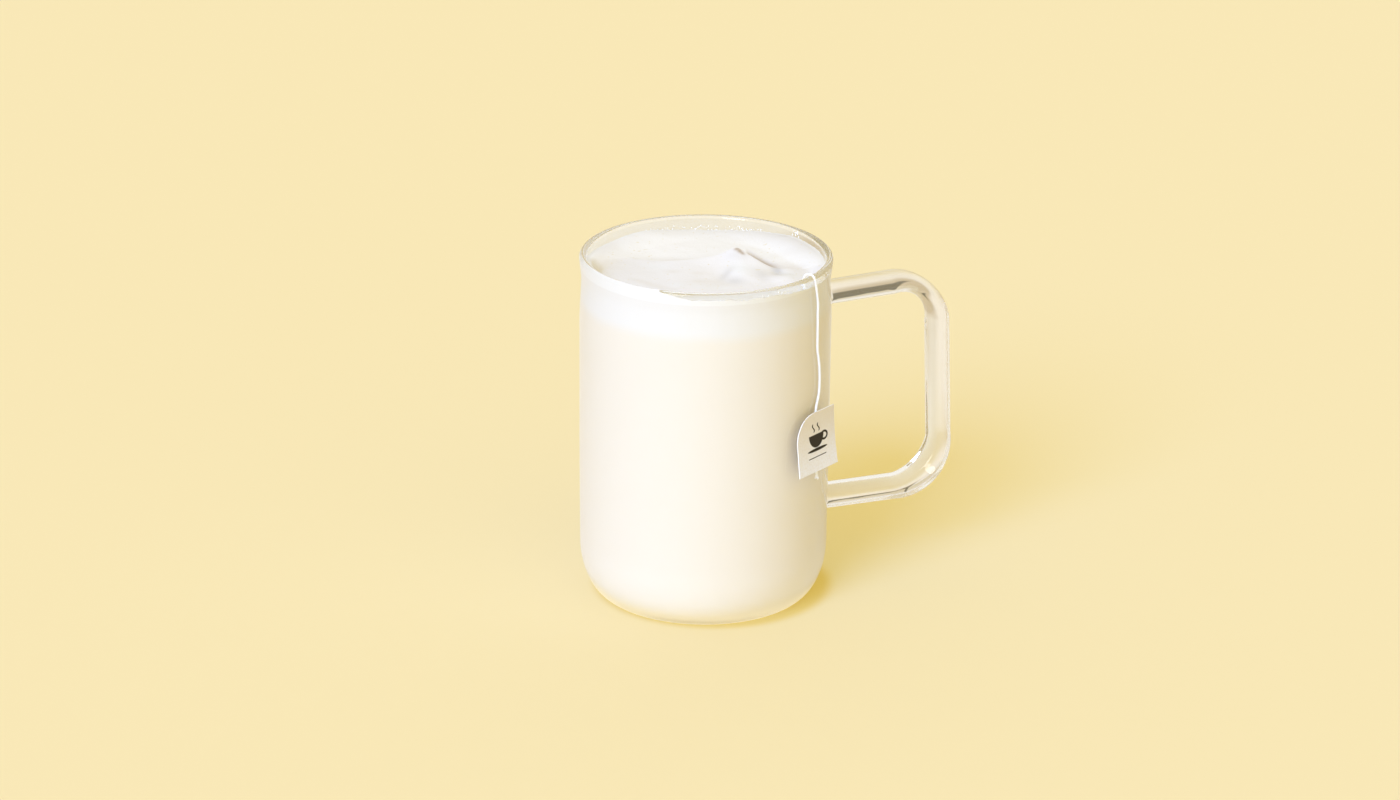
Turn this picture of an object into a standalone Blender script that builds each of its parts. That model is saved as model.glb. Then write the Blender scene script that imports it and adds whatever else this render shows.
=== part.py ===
"""A tea latte in its glass mug: a straight clear glass with a rounded bottom and a bent glass rod
for a handle, milky tea up to a thick layer of milk foam, and the tea bag's cotton string, which
comes up out of the foam, runs over the rim and carries a paper tag.

The mug stands on the XY plane with its axis on Z and its handle along +X. Units are metres.
"""

import math

import bmesh
import bpy
from mathutils import Vector

# Touching pieces keep this much space between them
GAP = 0.0003

# The glass: its height, its outside radii at named heights, and its thickness
MUG_HEIGHT = 0.1208
FOOT_RADIUS = 0.0322
CORNER_HEIGHT = 0.0190
LOW_RADIUS = 0.04215
BODY_RADIUS = 0.04235
NECK_RADIUS = 0.04180
RIM_RADIUS = 0.04250
LIP_START = 0.1193
WALL = 0.0024
FLOOR = 0.0032
FLOOR_RADIUS = 0.0309
OUTSIDE = (
    (CORNER_HEIGHT, LOW_RADIUS),
    (0.0600, BODY_RADIUS),
    (0.0980, BODY_RADIUS),
    (0.1130, NECK_RADIUS),
    (LIP_START, RIM_RADIUS),
)

# How finely the turned pieces are drawn: steps round the axis, heights of the wall's rings, and
# steps round the lip and the corners
AROUND = 56
WALL_RINGS = (0.0600, 0.0980, 0.1035, 0.1085, 0.1130, 0.1165)
LIP_STEPS = 6
INNER_STEPS = 5
OUTER_STEPS = 7

# The handle: a round glass rod that leaves the wall twice and turns two corners
ROD_RADIUS = 0.0046
ROD_START = 0.0412
ARM_FROM = 0.0450
TOP_HEIGHT = 0.1017
ARM_RISE = 0.036
TOP_REACH = 0.0851
TOP_BEND = 0.0161
LOW_HEIGHT = 0.0275
ARM_FALL = 0.003
LOW_REACH = 0.0882
LOW_BEND = 0.0166
BEND_STEPS = 9
FLARE_LENGTH = 0.0036
FLARE_STEPS = 4

# How thick the rod is, as shares of its radius: swollen at the wall, drawn thin round the upper
# corner, where it was bent last, and full round the lower one
FLARE = 1.28
TOP_BEND_SHARE = 0.71
UPRIGHT_SHARE = 0.957
LOW_BEND_SHARE = 1.17

# The drink: tea with milk below, milk foam above
FOAM_BOTTOM = 0.1042
FOAM_LEVEL = 0.1152
FOAM_EDGE = NECK_RADIUS - WALL - GAP

# Two directions, as turns from the handle: the fold in the foam runs across the mug on a line that
# is turned clockwise by FOLD_TURN, and the string and the tag are placed from HANG_TURN, round
# towards the handle
FOLD_TURN = math.radians(22.0)
HANG_TURN = math.radians(-112.0)

# The fold's crest: along the fold, towards the back, and how high it stands over the foam
CREST = (
    (-0.0391, 0.0000, 0.0000),
    (-0.0280, 0.0098, 0.0000),
    (-0.0172, 0.0062, 0.0008),
    (-0.0120, 0.0040, 0.0013),
    (-0.0021, 0.0038, 0.0022),
    (0.0045, 0.0052, 0.0035),
    (0.0103, 0.0062, 0.0054),
    (0.0142, 0.0040, 0.0038),
    (0.0214, -0.0012, 0.0016),
    (0.0290, -0.0012, 0.0008),
    (0.0391, 0.0000, 0.0000),
)
CREST_FRONT = 0.0062
CREST_BACK = 0.0018

# The foam's mesh is a grid whose middle row is the crest and whose outer lines are rings beside
# the wall: how far the first rows lie from the crest, and the outer rings from the wall
ROWS_BY_CREST = (0.0, 0.0007, 0.0015, 0.0023, 0.0042)
RINGS_BY_WALL = (0.0028, 0.0015, 0.0006, 0.0)
ROWS_BETWEEN = 4
COLUMNS_BETWEEN = 22

# Soft mounds and dents in the foam: along the fold, towards the back, height and width
SWELLS = (
    (0.0120, -0.0080, 0.0011, 0.0042),
    (0.0070, -0.0112, -0.0007, 0.0030),
    (0.0238, -0.0049, -0.0013, 0.0022),
    (0.0265, -0.0105, 0.0009, 0.0034),
    (-0.0060, -0.0060, 0.0007, 0.0060),
    (-0.0050, -0.0200, 0.0006, 0.0070),
    (-0.0230, -0.0080, 0.0004, 0.0070),
    (-0.0160, 0.0110, -0.0004, 0.0050),
    (0.0050, 0.0220, 0.0003, 0.0090),
)

# The foam climbs the glass: everywhere a little, and most on the side away from the string
CLIMB = 0.0005
CLIMB_MOST = 0.0040
CLIMB_TURN = HANG_TURN - math.radians(54.0)
CLIMB_FULL = math.radians(30.0)
CLIMB_FADE = math.radians(32.0)
CLIMB_WIDTH = 0.0024

# The string, by degrees round from HANG_TURN, distance from the axis, and height. It comes out
# of the foam below the first point.
STRING_DIAMETER = 0.0010
STRING_ROUTE = (
    (55.3, 0.0386, 0.1176),
    (55.4, 0.0389, 0.1192),
    (55.5, 0.0393, 0.1204),
    (55.5, 0.0401, 0.1213),
    (55.6, 0.0413, 0.1217),
    (55.7, 0.0425, 0.1213),
    (55.9, 0.0432, 0.1203),
    (56.4, 0.0434, 0.1187),
    (57.9, 0.0433, 0.1150),
    (59.2, 0.0432, 0.1105),
    (59.2, 0.0432, 0.1060),
    (59.4, 0.0432, 0.1010),
    (59.5, 0.0432, 0.0953),
    (60.7, 0.0432, 0.0915),
    (61.7, 0.0432, 0.0880),
    (62.2, 0.0432, 0.0832),
    (61.7, 0.0432, 0.0789),
    (60.2, 0.0432, 0.0757),
)
STRING_TAIL = 0.0022
STRING_ASIDE = 0.0018
STRING_STEP = 0.0024

# The tag: a square of card with one round corner, which leans out a little at its foot
TAG_WIDTH = 0.0198
TAG_HEIGHT = 0.0205
TAG_THICKNESS = 0.00035
TAG_CORNER = 0.0094
TAG_CENTRE = (55.85, 0.0452, 0.06345)
TAG_FACES = math.radians(50.0)
TAG_LEAN = math.radians(5.0)
TAG_TWIST = math.radians(1.4)


def clear_scene():
    for item in list(bpy.data.objects):
        bpy.data.objects.remove(item, do_unlink=True)


def new_collection(name):
    collection = bpy.data.collections.new(name)
    bpy.context.scene.collection.children.link(collection)
    return collection


def finish(name, colour, roughness, transmission=0.0):
    material = bpy.data.materials.new(name)
    material.use_nodes = True
    shader = material.node_tree.nodes["Principled BSDF"]
    shader.inputs["Base Color"].default_value = (*colour, 1.0)
    shader.inputs["Roughness"].default_value = roughness
    shader.inputs["Metallic"].default_value = 0.0
    shader.inputs["Transmission Weight"].default_value = transmission
    return material


def ease(share):
    """0 to 1 with a level start and end."""
    share = min(max(share, 0.0), 1.0)
    return share * share * (3.0 - 2.0 * share)


def along(stations, at):
    """The values that a list of (place, values...) has at a place, eased between its rows."""
    if at <= stations[0][0]:
        return stations[0][1:]
    for low, high in zip(stations, stations[1:]):
        if at <= high[0]:
            share = ease((at - low[0]) / (high[0] - low[0]))
            return tuple(a + (b - a) * share for a, b in zip(low[1:], high[1:]))
    return stations[-1][1:]


def through(stations, at):
    """The values of a list of (place, values...) at a place, on a smooth curve through its rows."""
    rows = [stations[0], *stations, stations[-1]]
    for before, low, high, after in zip(rows, rows[1:], rows[2:], rows[3:]):
        if at <= high[0] or high is stations[-1]:
            span = high[0] - low[0]
            t = min(max((at - low[0]) / span, 0.0), 1.0)
            values = []
            for k in range(1, len(low)):
                leave = (high[k] - before[k]) / (high[0] - before[0]) * span
                arrive = (after[k] - low[k]) / (after[0] - low[0]) * span
                rise = high[k] - low[k]
                values.append(
                    low[k] + t * leave + t * t * (3 * rise - 2 * leave - arrive)
                    + t ** 3 * (leave + arrive - 2 * rise)
                )
            return values


def outer_radius(height):
    return along(OUTSIDE, height)[0]


def inner_radius(height):
    return outer_radius(height) - WALL


def curve_points(centre, radii, start, end, steps):
    """Points on an ellipse in the plane of a profile, from one angle to another, in degrees."""
    angles = [math.radians(start + (end - start) * i / steps) for i in range(steps + 1)]
    return [
        (centre[0] + radii[0] * math.cos(a), centre[1] + radii[1] * math.sin(a))
        for a in angles
    ]


def inner_corner(gap):
    """The curve from the inside floor to the inside wall, drawn in by a gap."""
    centre = (FLOOR_RADIUS, CORNER_HEIGHT)
    radii = (
        inner_radius(CORNER_HEIGHT) - gap - FLOOR_RADIUS,
        CORNER_HEIGHT - FLOOR - gap,
    )
    return curve_points(centre, radii, -90.0, 0.0, INNER_STEPS)


def polyline(name, points, collection):
    """A curve object that runs straight from point to point."""
    curve = bpy.data.curves.new(name, "CURVE")
    curve.dimensions = "3D"
    spline = curve.splines.new("POLY")
    spline.points.add(len(points) - 1)
    for spot, point in zip(spline.points, points):
        spot.co = (*point, 1.0)
    item = bpy.data.objects.new(name, curve)
    collection.objects.link(item)
    return item


def as_mesh(item, weld=0.00001):
    """The evaluated shape as a mesh object of the same name, with its loose caps welded."""
    name = item.name
    graph = bpy.context.evaluated_depsgraph_get()
    mesh = bpy.data.meshes.new_from_object(item.evaluated_get(graph))
    shell = bmesh.new()
    shell.from_mesh(mesh)
    bmesh.ops.remove_doubles(shell, verts=shell.verts, dist=weld)
    bmesh.ops.recalc_face_normals(shell, faces=shell.faces)
    shell.to_mesh(mesh)
    shell.free()
    made = bpy.data.objects.new(name + "_mesh", mesh)
    made.matrix_world = item.matrix_world
    for collection in item.users_collection:
        collection.objects.link(made)
    bpy.data.objects.remove(item)
    made.name = name
    return made


def turned(name, profile, collection):
    """A profile of (radius, height) points turned round the Z axis."""
    mesh = bpy.data.meshes.new(name)
    points = [(radius, 0.0, height) for radius, height in profile]
    mesh.from_pydata(points, [(i, i + 1) for i in range(len(points) - 1)], [])
    item = bpy.data.objects.new(name, mesh)
    collection.objects.link(item)
    screw = item.modifiers.new("Turn", "SCREW")
    screw.steps = AROUND
    screw.render_steps = AROUND
    screw.use_merge_vertices = True
    screw.merge_threshold = 0.00001
    return item


def dress(item, material, crease=30.0):
    item.data.materials.clear()
    item.data.materials.append(material)
    item.data.shade_smooth()
    item.data.set_sharp_from_angle(angle=math.radians(crease))


def hang(turn, radius, height):
    """A point by degrees round from HANG_TURN, distance from the axis, and height."""
    angle = HANG_TURN + math.radians(turn)
    return Vector((radius * math.cos(angle), radius * math.sin(angle), height))


def smooth_route(points, step):
    """Points about a step apart on the smooth curve through a route's own points."""
    ends = [points[0] * 2 - points[1], *points, points[-1] * 2 - points[-2]]
    fine = []
    for a, b, c, d in zip(ends, ends[1:], ends[2:], ends[3:]):
        for i in range(16):
            t = i / 16
            fine.append(
                0.5 * (2 * b + (c - a) * t + (2 * a - 5 * b + 4 * c - d) * t * t
                       + (3 * b - 3 * c + d - a) * t ** 3)
            )
    fine.append(points[-1])
    lengths = [0.0]
    for a, b in zip(fine, fine[1:]):
        lengths.append(lengths[-1] + (b - a).length)
    count = round(lengths[-1] / step)
    spaced, at = [], 0
    for i in range(count + 1):
        want = lengths[-1] * i / count
        while at < len(fine) - 2 and lengths[at + 1] < want:
            at += 1
        share = (want - lengths[at]) / (lengths[at + 1] - lengths[at])
        spaced.append(fine[at].lerp(fine[at + 1], share))
    return spaced


def build_shell(collection):
    """The mug's wall, floor and lip, as one turned piece of glass."""
    half = WALL / 2
    inside = [(0.0, FLOOR), *inner_corner(0.0)]
    inside += [(inner_radius(z), z) for z in WALL_RINGS]
    lip = curve_points(
        (RIM_RADIUS - half, LIP_START), (half, MUG_HEIGHT - LIP_START), 180.0, 0.0, LIP_STEPS
    )
    outside = [(outer_radius(z), z) for z in reversed(WALL_RINGS)]
    corner = curve_points(
        (FOOT_RADIUS, CORNER_HEIGHT),
        (LOW_RADIUS - FOOT_RADIUS, CORNER_HEIGHT),
        0.0,
        -90.0,
        OUTER_STEPS,
    )
    profile = [*inside, *lip, *outside, *corner, (0.0, 0.0)]
    return as_mesh(turned("glass_mug", profile, collection))


def handle_path():
    """The rod's centre line, with how thick it is at each point: straight arms and two arcs."""
    start_top, top_corner = (
        Vector((x, 0.0, TOP_HEIGHT + ARM_RISE * (x - ARM_FROM)))
        for x in (ROD_START, TOP_REACH)
    )
    start_low, low_corner = (
        Vector((x, 0.0, LOW_HEIGHT - ARM_FALL * (x - ARM_FROM)))
        for x in (ROD_START, LOW_REACH)
    )
    flare = [(i / FLARE_STEPS, 1.0 + (FLARE - 1.0) * (1.0 - i / FLARE_STEPS) ** 2)
             for i in range(FLARE_STEPS + 1)]
    path = [
        (start_top.lerp(top_corner, FLARE_LENGTH * t / (TOP_REACH - ROD_START)), share)
        for t, share in flare
    ]
    for before, corner, after, radius, (first, middle, last) in (
        (start_top, top_corner, low_corner, TOP_BEND, (1.0, TOP_BEND_SHARE, UPRIGHT_SHARE)),
        (top_corner, low_corner, start_low, LOW_BEND, (UPRIGHT_SHARE, LOW_BEND_SHARE, 1.0)),
    ):
        for i, point in enumerate(rounded(before, corner, after, radius, BEND_STEPS)):
            t = i / BEND_STEPS
            swollen = middle - (first + last) / 2
            path.append((point, first + (last - first) * t + swollen * math.sin(math.pi * t)))
    path += [
        (start_low.lerp(low_corner, FLARE_LENGTH * t / (LOW_REACH - ROD_START)), share)
        for t, share in reversed(flare)
    ]
    return path


def rounded(before, corner, after, radius, steps):
    """The arc that rounds a corner between two straight runs."""
    one, two = (before - corner).normalized(), (after - corner).normalized()
    half = one.angle(two) / 2
    centre = corner + (one + two).normalized() * (radius / math.sin(half))
    start = corner + one * (radius / math.tan(half)) - centre
    end = corner + two * (radius / math.tan(half)) - centre
    sweep = start.angle(end)
    return [
        centre
        + (start * math.sin(sweep * (1 - i / steps)) + end * math.sin(sweep * i / steps))
        / math.sin(sweep)
        for i in range(steps + 1)
    ]


def build_handle(collection):
    """The bent rod. Each end swells a little where the hot glass was pressed to the wall."""
    path = handle_path()
    rod = polyline("handle_rod", [point for point, _ in path], collection)
    rod.data.bevel_depth = ROD_RADIUS
    rod.data.bevel_resolution = 4
    rod.data.use_fill_caps = True
    for spot, (_, share) in zip(rod.data.splines[0].points, path):
        spot.radius = share
    return as_mesh(rod)


def build_mug(parts, cutters, glass):
    mug = build_shell(parts)
    rod = build_handle(cutters)
    rod.hide_render = True
    rod.display_type = "WIRE"
    fuse = mug.modifiers.new("Fuse the handle", "BOOLEAN")
    fuse.operation = "UNION"
    fuse.object = rod
    dress(mug, glass)


def build_tea(parts, material):
    """The milky tea, from the glass floor up to the foam."""
    top = FOAM_BOTTOM - GAP / 2
    rings = [z for z in WALL_RINGS if z < top - 0.001]
    wall = [(inner_radius(z) - GAP, z) for z in (*rings, top)]
    profile = [(0.0, top), *reversed(wall), *reversed(inner_corner(GAP)), (0.0, FLOOR + GAP)]
    dress(as_mesh(turned("milk_tea", profile, parts)), material)


def fold_axes(x, y):
    """A place in the mug as distances along the fold and towards the back."""
    across = x * math.cos(FOLD_TURN) - y * math.sin(FOLD_TURN)
    back = x * math.sin(FOLD_TURN) + y * math.cos(FOLD_TURN)
    return across, back


def foam_swell(across, back):
    """How high the foam stands over its level away from the wall: a steep-backed fold."""
    crest_back, crest_height = through(CREST, across)
    front = crest_back - back
    if front > 0.0:
        lift = crest_height * math.exp(-((front / CREST_FRONT) ** 1.3))
    else:
        lift = crest_height * (1.0 - ease(-front / CREST_BACK))
    for swell_across, swell_back, height, width in SWELLS:
        away = (across - swell_across) ** 2 + (back - swell_back) ** 2
        lift += height * math.exp(-away / (2.0 * width * width))
    return lift


def foam_climb(x, y):
    """How far the foam climbs the glass beside a place: most on the side left of the string."""
    off = abs(math.remainder(math.atan2(y, x) - CLIMB_TURN, math.tau))
    return CLIMB + (CLIMB_MOST - CLIMB) * (1.0 - ease((off - CLIMB_FULL) / CLIMB_FADE))


def foam_height(x, y):
    """The height of the foam's top at a place in the mug."""
    near = ease(1.0 - (FOAM_EDGE - math.hypot(x, y)) / CLIMB_WIDTH)
    swell = foam_swell(*fold_axes(x, y))
    return FOAM_LEVEL + swell * (1.0 - near) + foam_climb(x, y) * near


def both_ways(steps):
    """Distances from the middle, and the same ones on the other side of it."""
    return [-step for step in reversed(steps[1:])] + list(steps)


def foam_lines(first, between):
    """Distances of the foam grid's lines from its middle: some given ones, then evenly on."""
    by_wall = [FOAM_EDGE - ring for ring in RINGS_BY_WALL]
    step = (by_wall[0] - first[-1]) / (between + 1)
    return both_ways([*first, *(first[-1] + step * (i + 1) for i in range(between)), *by_wall])


def foam_place(column, row):
    """Where a column and a row of the foam's grid meet, given by their distances from its middle.
    The grid's square outline becomes the round wall, and its middle row the crest."""
    if abs(column) >= abs(row):
        turn = math.pi / 4 * row / column if column else 0.0
        across, back = column * math.cos(turn), column * math.sin(turn)
    else:
        turn = math.pi / 4 * column / row
        across, back = row * math.sin(turn), row * math.cos(turn)
    wall = math.sqrt(max(FOAM_EDGE ** 2 - across ** 2, 0.0))
    if abs(back) < wall:
        back += through(CREST, across)[0] * (1.0 - abs(back) / wall)
    x = across * math.cos(FOLD_TURN) + back * math.sin(FOLD_TURN)
    y = back * math.cos(FOLD_TURN) - across * math.sin(FOLD_TURN)
    return x, y, foam_height(x, y)


def build_foam(parts, material):
    """The foam: a grid laid along the fold's crest, closed by a side wall and a flat bottom."""
    columns = foam_lines((0.0,), COLUMNS_BETWEEN)
    rows = foam_lines(ROWS_BY_CREST, ROWS_BETWEEN)
    shell = bmesh.new()
    grid = [[shell.verts.new(foam_place(column, row)) for row in rows] for column in columns]
    for left, right in zip(grid, grid[1:]):
        for i in range(len(rows) - 1):
            shell.faces.new((left[i], right[i], right[i + 1], left[i + 1]))
    bottom = FOAM_BOTTOM + GAP / 2
    rings = [z for z in reversed(WALL_RINGS) if bottom < z < FOAM_LEVEL]
    for height in (*rings, bottom):
        border = [edge for edge in shell.edges if edge.is_boundary]
        skirt = bmesh.ops.extrude_edge_only(shell, edges=border)["geom"]
        for vertex in (item for item in skirt if isinstance(item, bmesh.types.BMVert)):
            reach = (inner_radius(height) - GAP) / math.hypot(vertex.co.x, vertex.co.y)
            vertex.co = (vertex.co.x * reach, vertex.co.y * reach, height)
    border = [edge for edge in shell.edges if edge.is_boundary]
    bmesh.ops.contextual_create(shell, geom=border)
    bmesh.ops.recalc_face_normals(shell, faces=shell.faces)
    mesh = bpy.data.meshes.new("milk_foam")
    shell.to_mesh(mesh)
    shell.free()
    foam = bpy.data.objects.new("milk_foam", mesh)
    parts.objects.link(foam)
    dress(foam, material, crease=60.0)


def tag_axes():
    """The tag's centre and its directions to the right, up and out, as seen from its front."""
    centre = hang(*TAG_CENTRE)
    angle = HANG_TURN + TAG_FACES
    out = Vector((math.cos(angle), math.sin(angle), 0.0))
    right = Vector((-math.sin(angle), math.cos(angle), 0.0))
    up = Vector((0.0, 0.0, 1.0)) * math.cos(TAG_LEAN) - out * math.sin(TAG_LEAN)
    right, up = (
        right * math.cos(TAG_TWIST) + up * math.sin(TAG_TWIST),
        up * math.cos(TAG_TWIST) - right * math.sin(TAG_TWIST),
    )
    return centre, right, up, right.cross(up)


def build_string(parts, material):
    """The string: out of the foam, over the rim, down the glass and behind its tag."""
    centre, right, up, out = tag_axes()
    behind = centre - out * (TAG_THICKNESS / 2 + GAP + STRING_DIAMETER / 2)
    route = [hang(*row) for row in STRING_ROUTE]
    x, y, _ = route[0]
    route.insert(0, Vector((x, y, foam_height(x, y) + 1.5 * GAP)))
    half = TAG_HEIGHT / 2
    for share in (0.92, 0.3, -0.3):
        aside = STRING_ASIDE * (share + 1.0) / 2
        route.append(behind + up * (half * share) + right * aside)
    route.append(behind - up * (half + STRING_TAIL))
    string = polyline("tea_string", smooth_route(route, STRING_STEP), parts)
    string.data.bevel_depth = STRING_DIAMETER / 2
    string.data.bevel_resolution = 2
    string.data.use_fill_caps = True
    string.data.materials.append(material)


def tag_outline():
    """The tag's flat outline, from its bottom left corner, with its top left corner round."""
    half_width, half_height = TAG_WIDTH / 2, TAG_HEIGHT / 2
    centre = (TAG_CORNER - half_width, half_height - TAG_CORNER)
    corner = curve_points(centre, (TAG_CORNER, TAG_CORNER), 90.0, 180.0, 10)
    return [
        (-half_width, -half_height),
        (half_width, -half_height),
        (half_width, half_height),
        *corner,
    ]


def build_tag(parts, material):
    """The paper tag: a flat outline, extruded to its thickness and set against the string."""
    curve = bpy.data.curves.new("paper_tag", "CURVE")
    curve.dimensions = "2D"
    curve.fill_mode = "BOTH"
    curve.extrude = TAG_THICKNESS / 2
    spline = curve.splines.new("POLY")
    outline = tag_outline()
    spline.points.add(len(outline) - 1)
    for spot, (x, y) in zip(spline.points, outline):
        spot.co = (x, y, 0.0, 1.0)
    spline.use_cyclic_u = True
    flat = bpy.data.objects.new("paper_tag", curve)
    parts.objects.link(flat)
    tag = as_mesh(flat)
    centre, right, up, out = tag_axes()
    for vertex in tag.data.vertices:
        x, y, z = vertex.co
        vertex.co = centre + right * x + up * y + out * z
    dress(tag, material)


def main():
    clear_scene()
    parts = new_collection("tea_latte")
    cutters = new_collection("cutters")
    build_mug(parts, cutters, finish("clear_glass", (0.98, 0.99, 0.97), 0.02, 1.0))
    build_tea(parts, finish("milky_tea", (0.93, 0.87, 0.74), 0.30))
    build_foam(parts, finish("milk_foam", (0.94, 0.93, 0.90), 0.60))
    build_string(parts, finish("cotton_string", (0.92, 0.90, 0.84), 0.90))
    build_tag(parts, finish("tag_card", (0.80, 0.74, 0.60), 0.85))


main()
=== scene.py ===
# %% [markdown]
# A tea latte in its glass mug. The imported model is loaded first, as a fixed frame in metres: the
# mug stands on the XY plane with its axis on Z and its handle along +X. Every piece below is
# made in that same frame, so it is in its place as soon as it is made.

import math

import bmesh
import bpy
import numpy as np
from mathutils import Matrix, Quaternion, Vector, noise


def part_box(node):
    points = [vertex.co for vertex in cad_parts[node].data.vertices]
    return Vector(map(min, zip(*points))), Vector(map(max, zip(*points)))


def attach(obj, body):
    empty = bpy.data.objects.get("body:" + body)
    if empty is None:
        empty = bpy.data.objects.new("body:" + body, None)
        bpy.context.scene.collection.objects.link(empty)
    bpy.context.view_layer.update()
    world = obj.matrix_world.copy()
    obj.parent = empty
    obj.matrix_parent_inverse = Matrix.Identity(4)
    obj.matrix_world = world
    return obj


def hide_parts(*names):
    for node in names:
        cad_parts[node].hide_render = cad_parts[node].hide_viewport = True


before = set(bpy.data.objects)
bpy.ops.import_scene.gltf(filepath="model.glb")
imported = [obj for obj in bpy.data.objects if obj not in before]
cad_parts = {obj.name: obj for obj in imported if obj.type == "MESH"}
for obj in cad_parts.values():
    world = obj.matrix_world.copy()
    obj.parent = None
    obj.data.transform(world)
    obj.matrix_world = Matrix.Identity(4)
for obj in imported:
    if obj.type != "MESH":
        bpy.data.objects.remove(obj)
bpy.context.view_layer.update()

# %% [markdown]
# The driving sizes. The mug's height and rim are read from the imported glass; the rest are the
# real sizes that its outline, its handle and its drink follow, in metres. Angles round the mug
# are turns from the handle. HANG_TURN points from the axis to the camera.

# %% Sizes
MM = 0.001
glass_low, glass_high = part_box("glass_mug")
MUG_HEIGHT = glass_high[2]
RIM_RADIUS = -glass_low[0]
FOOT_RADIUS = 0.0322
CORNER_HEIGHT = 0.0190
LOW_RADIUS = 0.04215
BODY_RADIUS = 0.04235
NECK_RADIUS = 0.04180
LIP_START = 0.1193
WALL = 0.0024
FLOOR = 0.0032
FLOOR_RADIUS = 0.0309
OUTSIDE = (
    (CORNER_HEIGHT, LOW_RADIUS), (0.0600, BODY_RADIUS), (0.0980, BODY_RADIUS),
    (0.1130, NECK_RADIUS), (LIP_START, RIM_RADIUS),
)
FOAM_BOTTOM = 0.1042
FOAM_LEVEL = 0.1152
FOAM_EDGE = NECK_RADIUS - WALL
HANG_TURN = math.radians(-112.0)
FOLD_TURN = math.radians(22.0)
print(f"mug {MUG_HEIGHT * 1000:.1f} mm high, rim radius {RIM_RADIUS * 1000:.2f} mm")

# %% [markdown]
# The camera comes first, because a piece that is placed by what the photograph shows needs it.
# It stands 1.5 m from the mug, turned 22 degrees to the handle's other side and 20 degrees above
# the table, with a long lens that keeps the mug's sides nearly parallel. A camera looks down its
# own -Z axis, so to_track_quat aims it, and the small roll is added about that same axis.
# Directions below are counted from the camera's side, and toward gives them.

# %% Camera
CAMERA_TURN = math.radians(-22.0)
CAMERA_RISE = math.radians(20.482)
CAMERA_AWAY = 1.5
CAMERA_ROLL = math.radians(0.595)
TARGET_RIGHT = -0.00157
TARGET_HEIGHT = 0.068292
LENS = 113.96
SENSOR_WIDTH = 36.0
CLIP = (0.05, 50.0)


def toward(left, rise=0.0):
    """A direction from the mug, by its turn left of the camera and its rise."""
    turn = CAMERA_TURN - left
    return Vector((
        math.sin(turn) * math.cos(rise), -math.cos(turn) * math.cos(rise), math.sin(rise)
    ))


TO_FRONT, TO_BACK = toward(0.0), toward(math.pi)
TO_LEFT, TO_RIGHT = toward(math.pi / 2), toward(-math.pi / 2)


def add_camera():
    data = bpy.data.cameras.new("photo_camera")
    data.lens = LENS
    data.sensor_width = SENSOR_WIDTH
    data.clip_start, data.clip_end = CLIP
    camera = bpy.data.objects.new("photo_camera", data)
    bpy.context.scene.collection.objects.link(camera)
    back = toward(0.0, CAMERA_RISE)
    target = TO_RIGHT * TARGET_RIGHT + Vector((0.0, 0.0, TARGET_HEIGHT))
    camera.location = target + back * CAMERA_AWAY
    camera.rotation_mode = "QUATERNION"
    roll = Quaternion((0.0, 0.0, 1.0), CAMERA_ROLL)
    camera.rotation_quaternion = back.to_track_quat("Z", "Y") @ roll
    bpy.context.scene.camera = camera
    return camera


camera = add_camera()
print("camera at", tuple(round(x, 4) for x in camera.location))

# %% [markdown]
# Nodes are easier to read as sums than as boxes and wires. The class below wraps one output
# socket of a node tree, and Python's own operators on it add Math nodes, so that 1 - mask is a
# subtract node. Most operators differ only in the node's operation, so a loop gives them to the
# class from a table. A wire knows its tree, and serves shaders and Geometry Nodes alike.

# %% Sums of nodes
class Wire:
    """An output socket of a node tree, which can be used in Python's arithmetic."""

    def __init__(self, tree, socket):
        self.tree = tree
        self.socket = socket

    def maths(self, operation, *values, clamp=False):
        return add_node(
            self.tree, "ShaderNodeMath", dict(enumerate(values)),
            operation=operation, use_clamp=clamp,
        )

    def __rsub__(self, other):
        return self.maths("SUBTRACT", other, self)

    def __neg__(self):
        return self * -1.0

    def clamped(self):
        return self.maths("MULTIPLY", self, 1.0, clamp=True)

    def ease(self, start, end):
        """0 before start and 1 after end, with a soft passage between them."""
        return add_node(
            self.tree, "ShaderNodeMapRange",
            {"Value": self, "From Min": start, "From Max": end},
            interpolation_type="SMOOTHSTEP",
        )

    def out(self, name):
        """Another output of the node that this one comes from."""
        return Wire(self.tree, self.socket.node.outputs[name])


WITH_ONE_MORE = {
    "__add__": "ADD", "__sub__": "SUBTRACT", "__mul__": "MULTIPLY", "__truediv__": "DIVIDE",
    "__pow__": "POWER", "most": "MAXIMUM",
}
ALONE = {"__abs__": "ABSOLUTE", "root": "SQRT", "sine": "SINE", "cosine": "COSINE"}
for method, operation in WITH_ONE_MORE.items():
    setattr(Wire, method, lambda self, other, kind=operation: self.maths(kind, self, other))
for method, operation in ALONE.items():
    setattr(Wire, method, lambda self, kind=operation: self.maths(kind, self))
print("a wire can", ", ".join([*WITH_ONE_MORE, *ALONE]))

# %% [markdown]
# Every other node comes from one call, add_node, which sets the node's own settings first and
# then its sockets: a wire is linked, and a plain value is set. The nodes that come back in most
# trees have a short function each, and so has a new material with its one Principled shader.

# %% Node functions
def add_node(tree, kind, ports=None, out=0, **settings):
    """Adds a node of any type, with its settings and the values or links of its sockets."""
    node = tree.nodes.new(kind)
    for name, value in settings.items():
        setattr(node, name, value)
    for name, value in (ports or {}).items():
        if isinstance(value, Wire):
            tree.links.new(value.socket, node.inputs[name])
        else:
            node.inputs[name].default_value = value
    return Wire(tree, node.outputs[out]) if len(node.outputs) else node


def vector_maths(tree, operation, ports, out=0):
    return add_node(tree, "ShaderNodeVectorMath", ports, out, operation=operation)


def scaled(vector, amount):
    """A vector or a colour times a wire."""
    return vector_maths(amount.tree, "SCALE", {0: vector, "Scale": amount})


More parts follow.
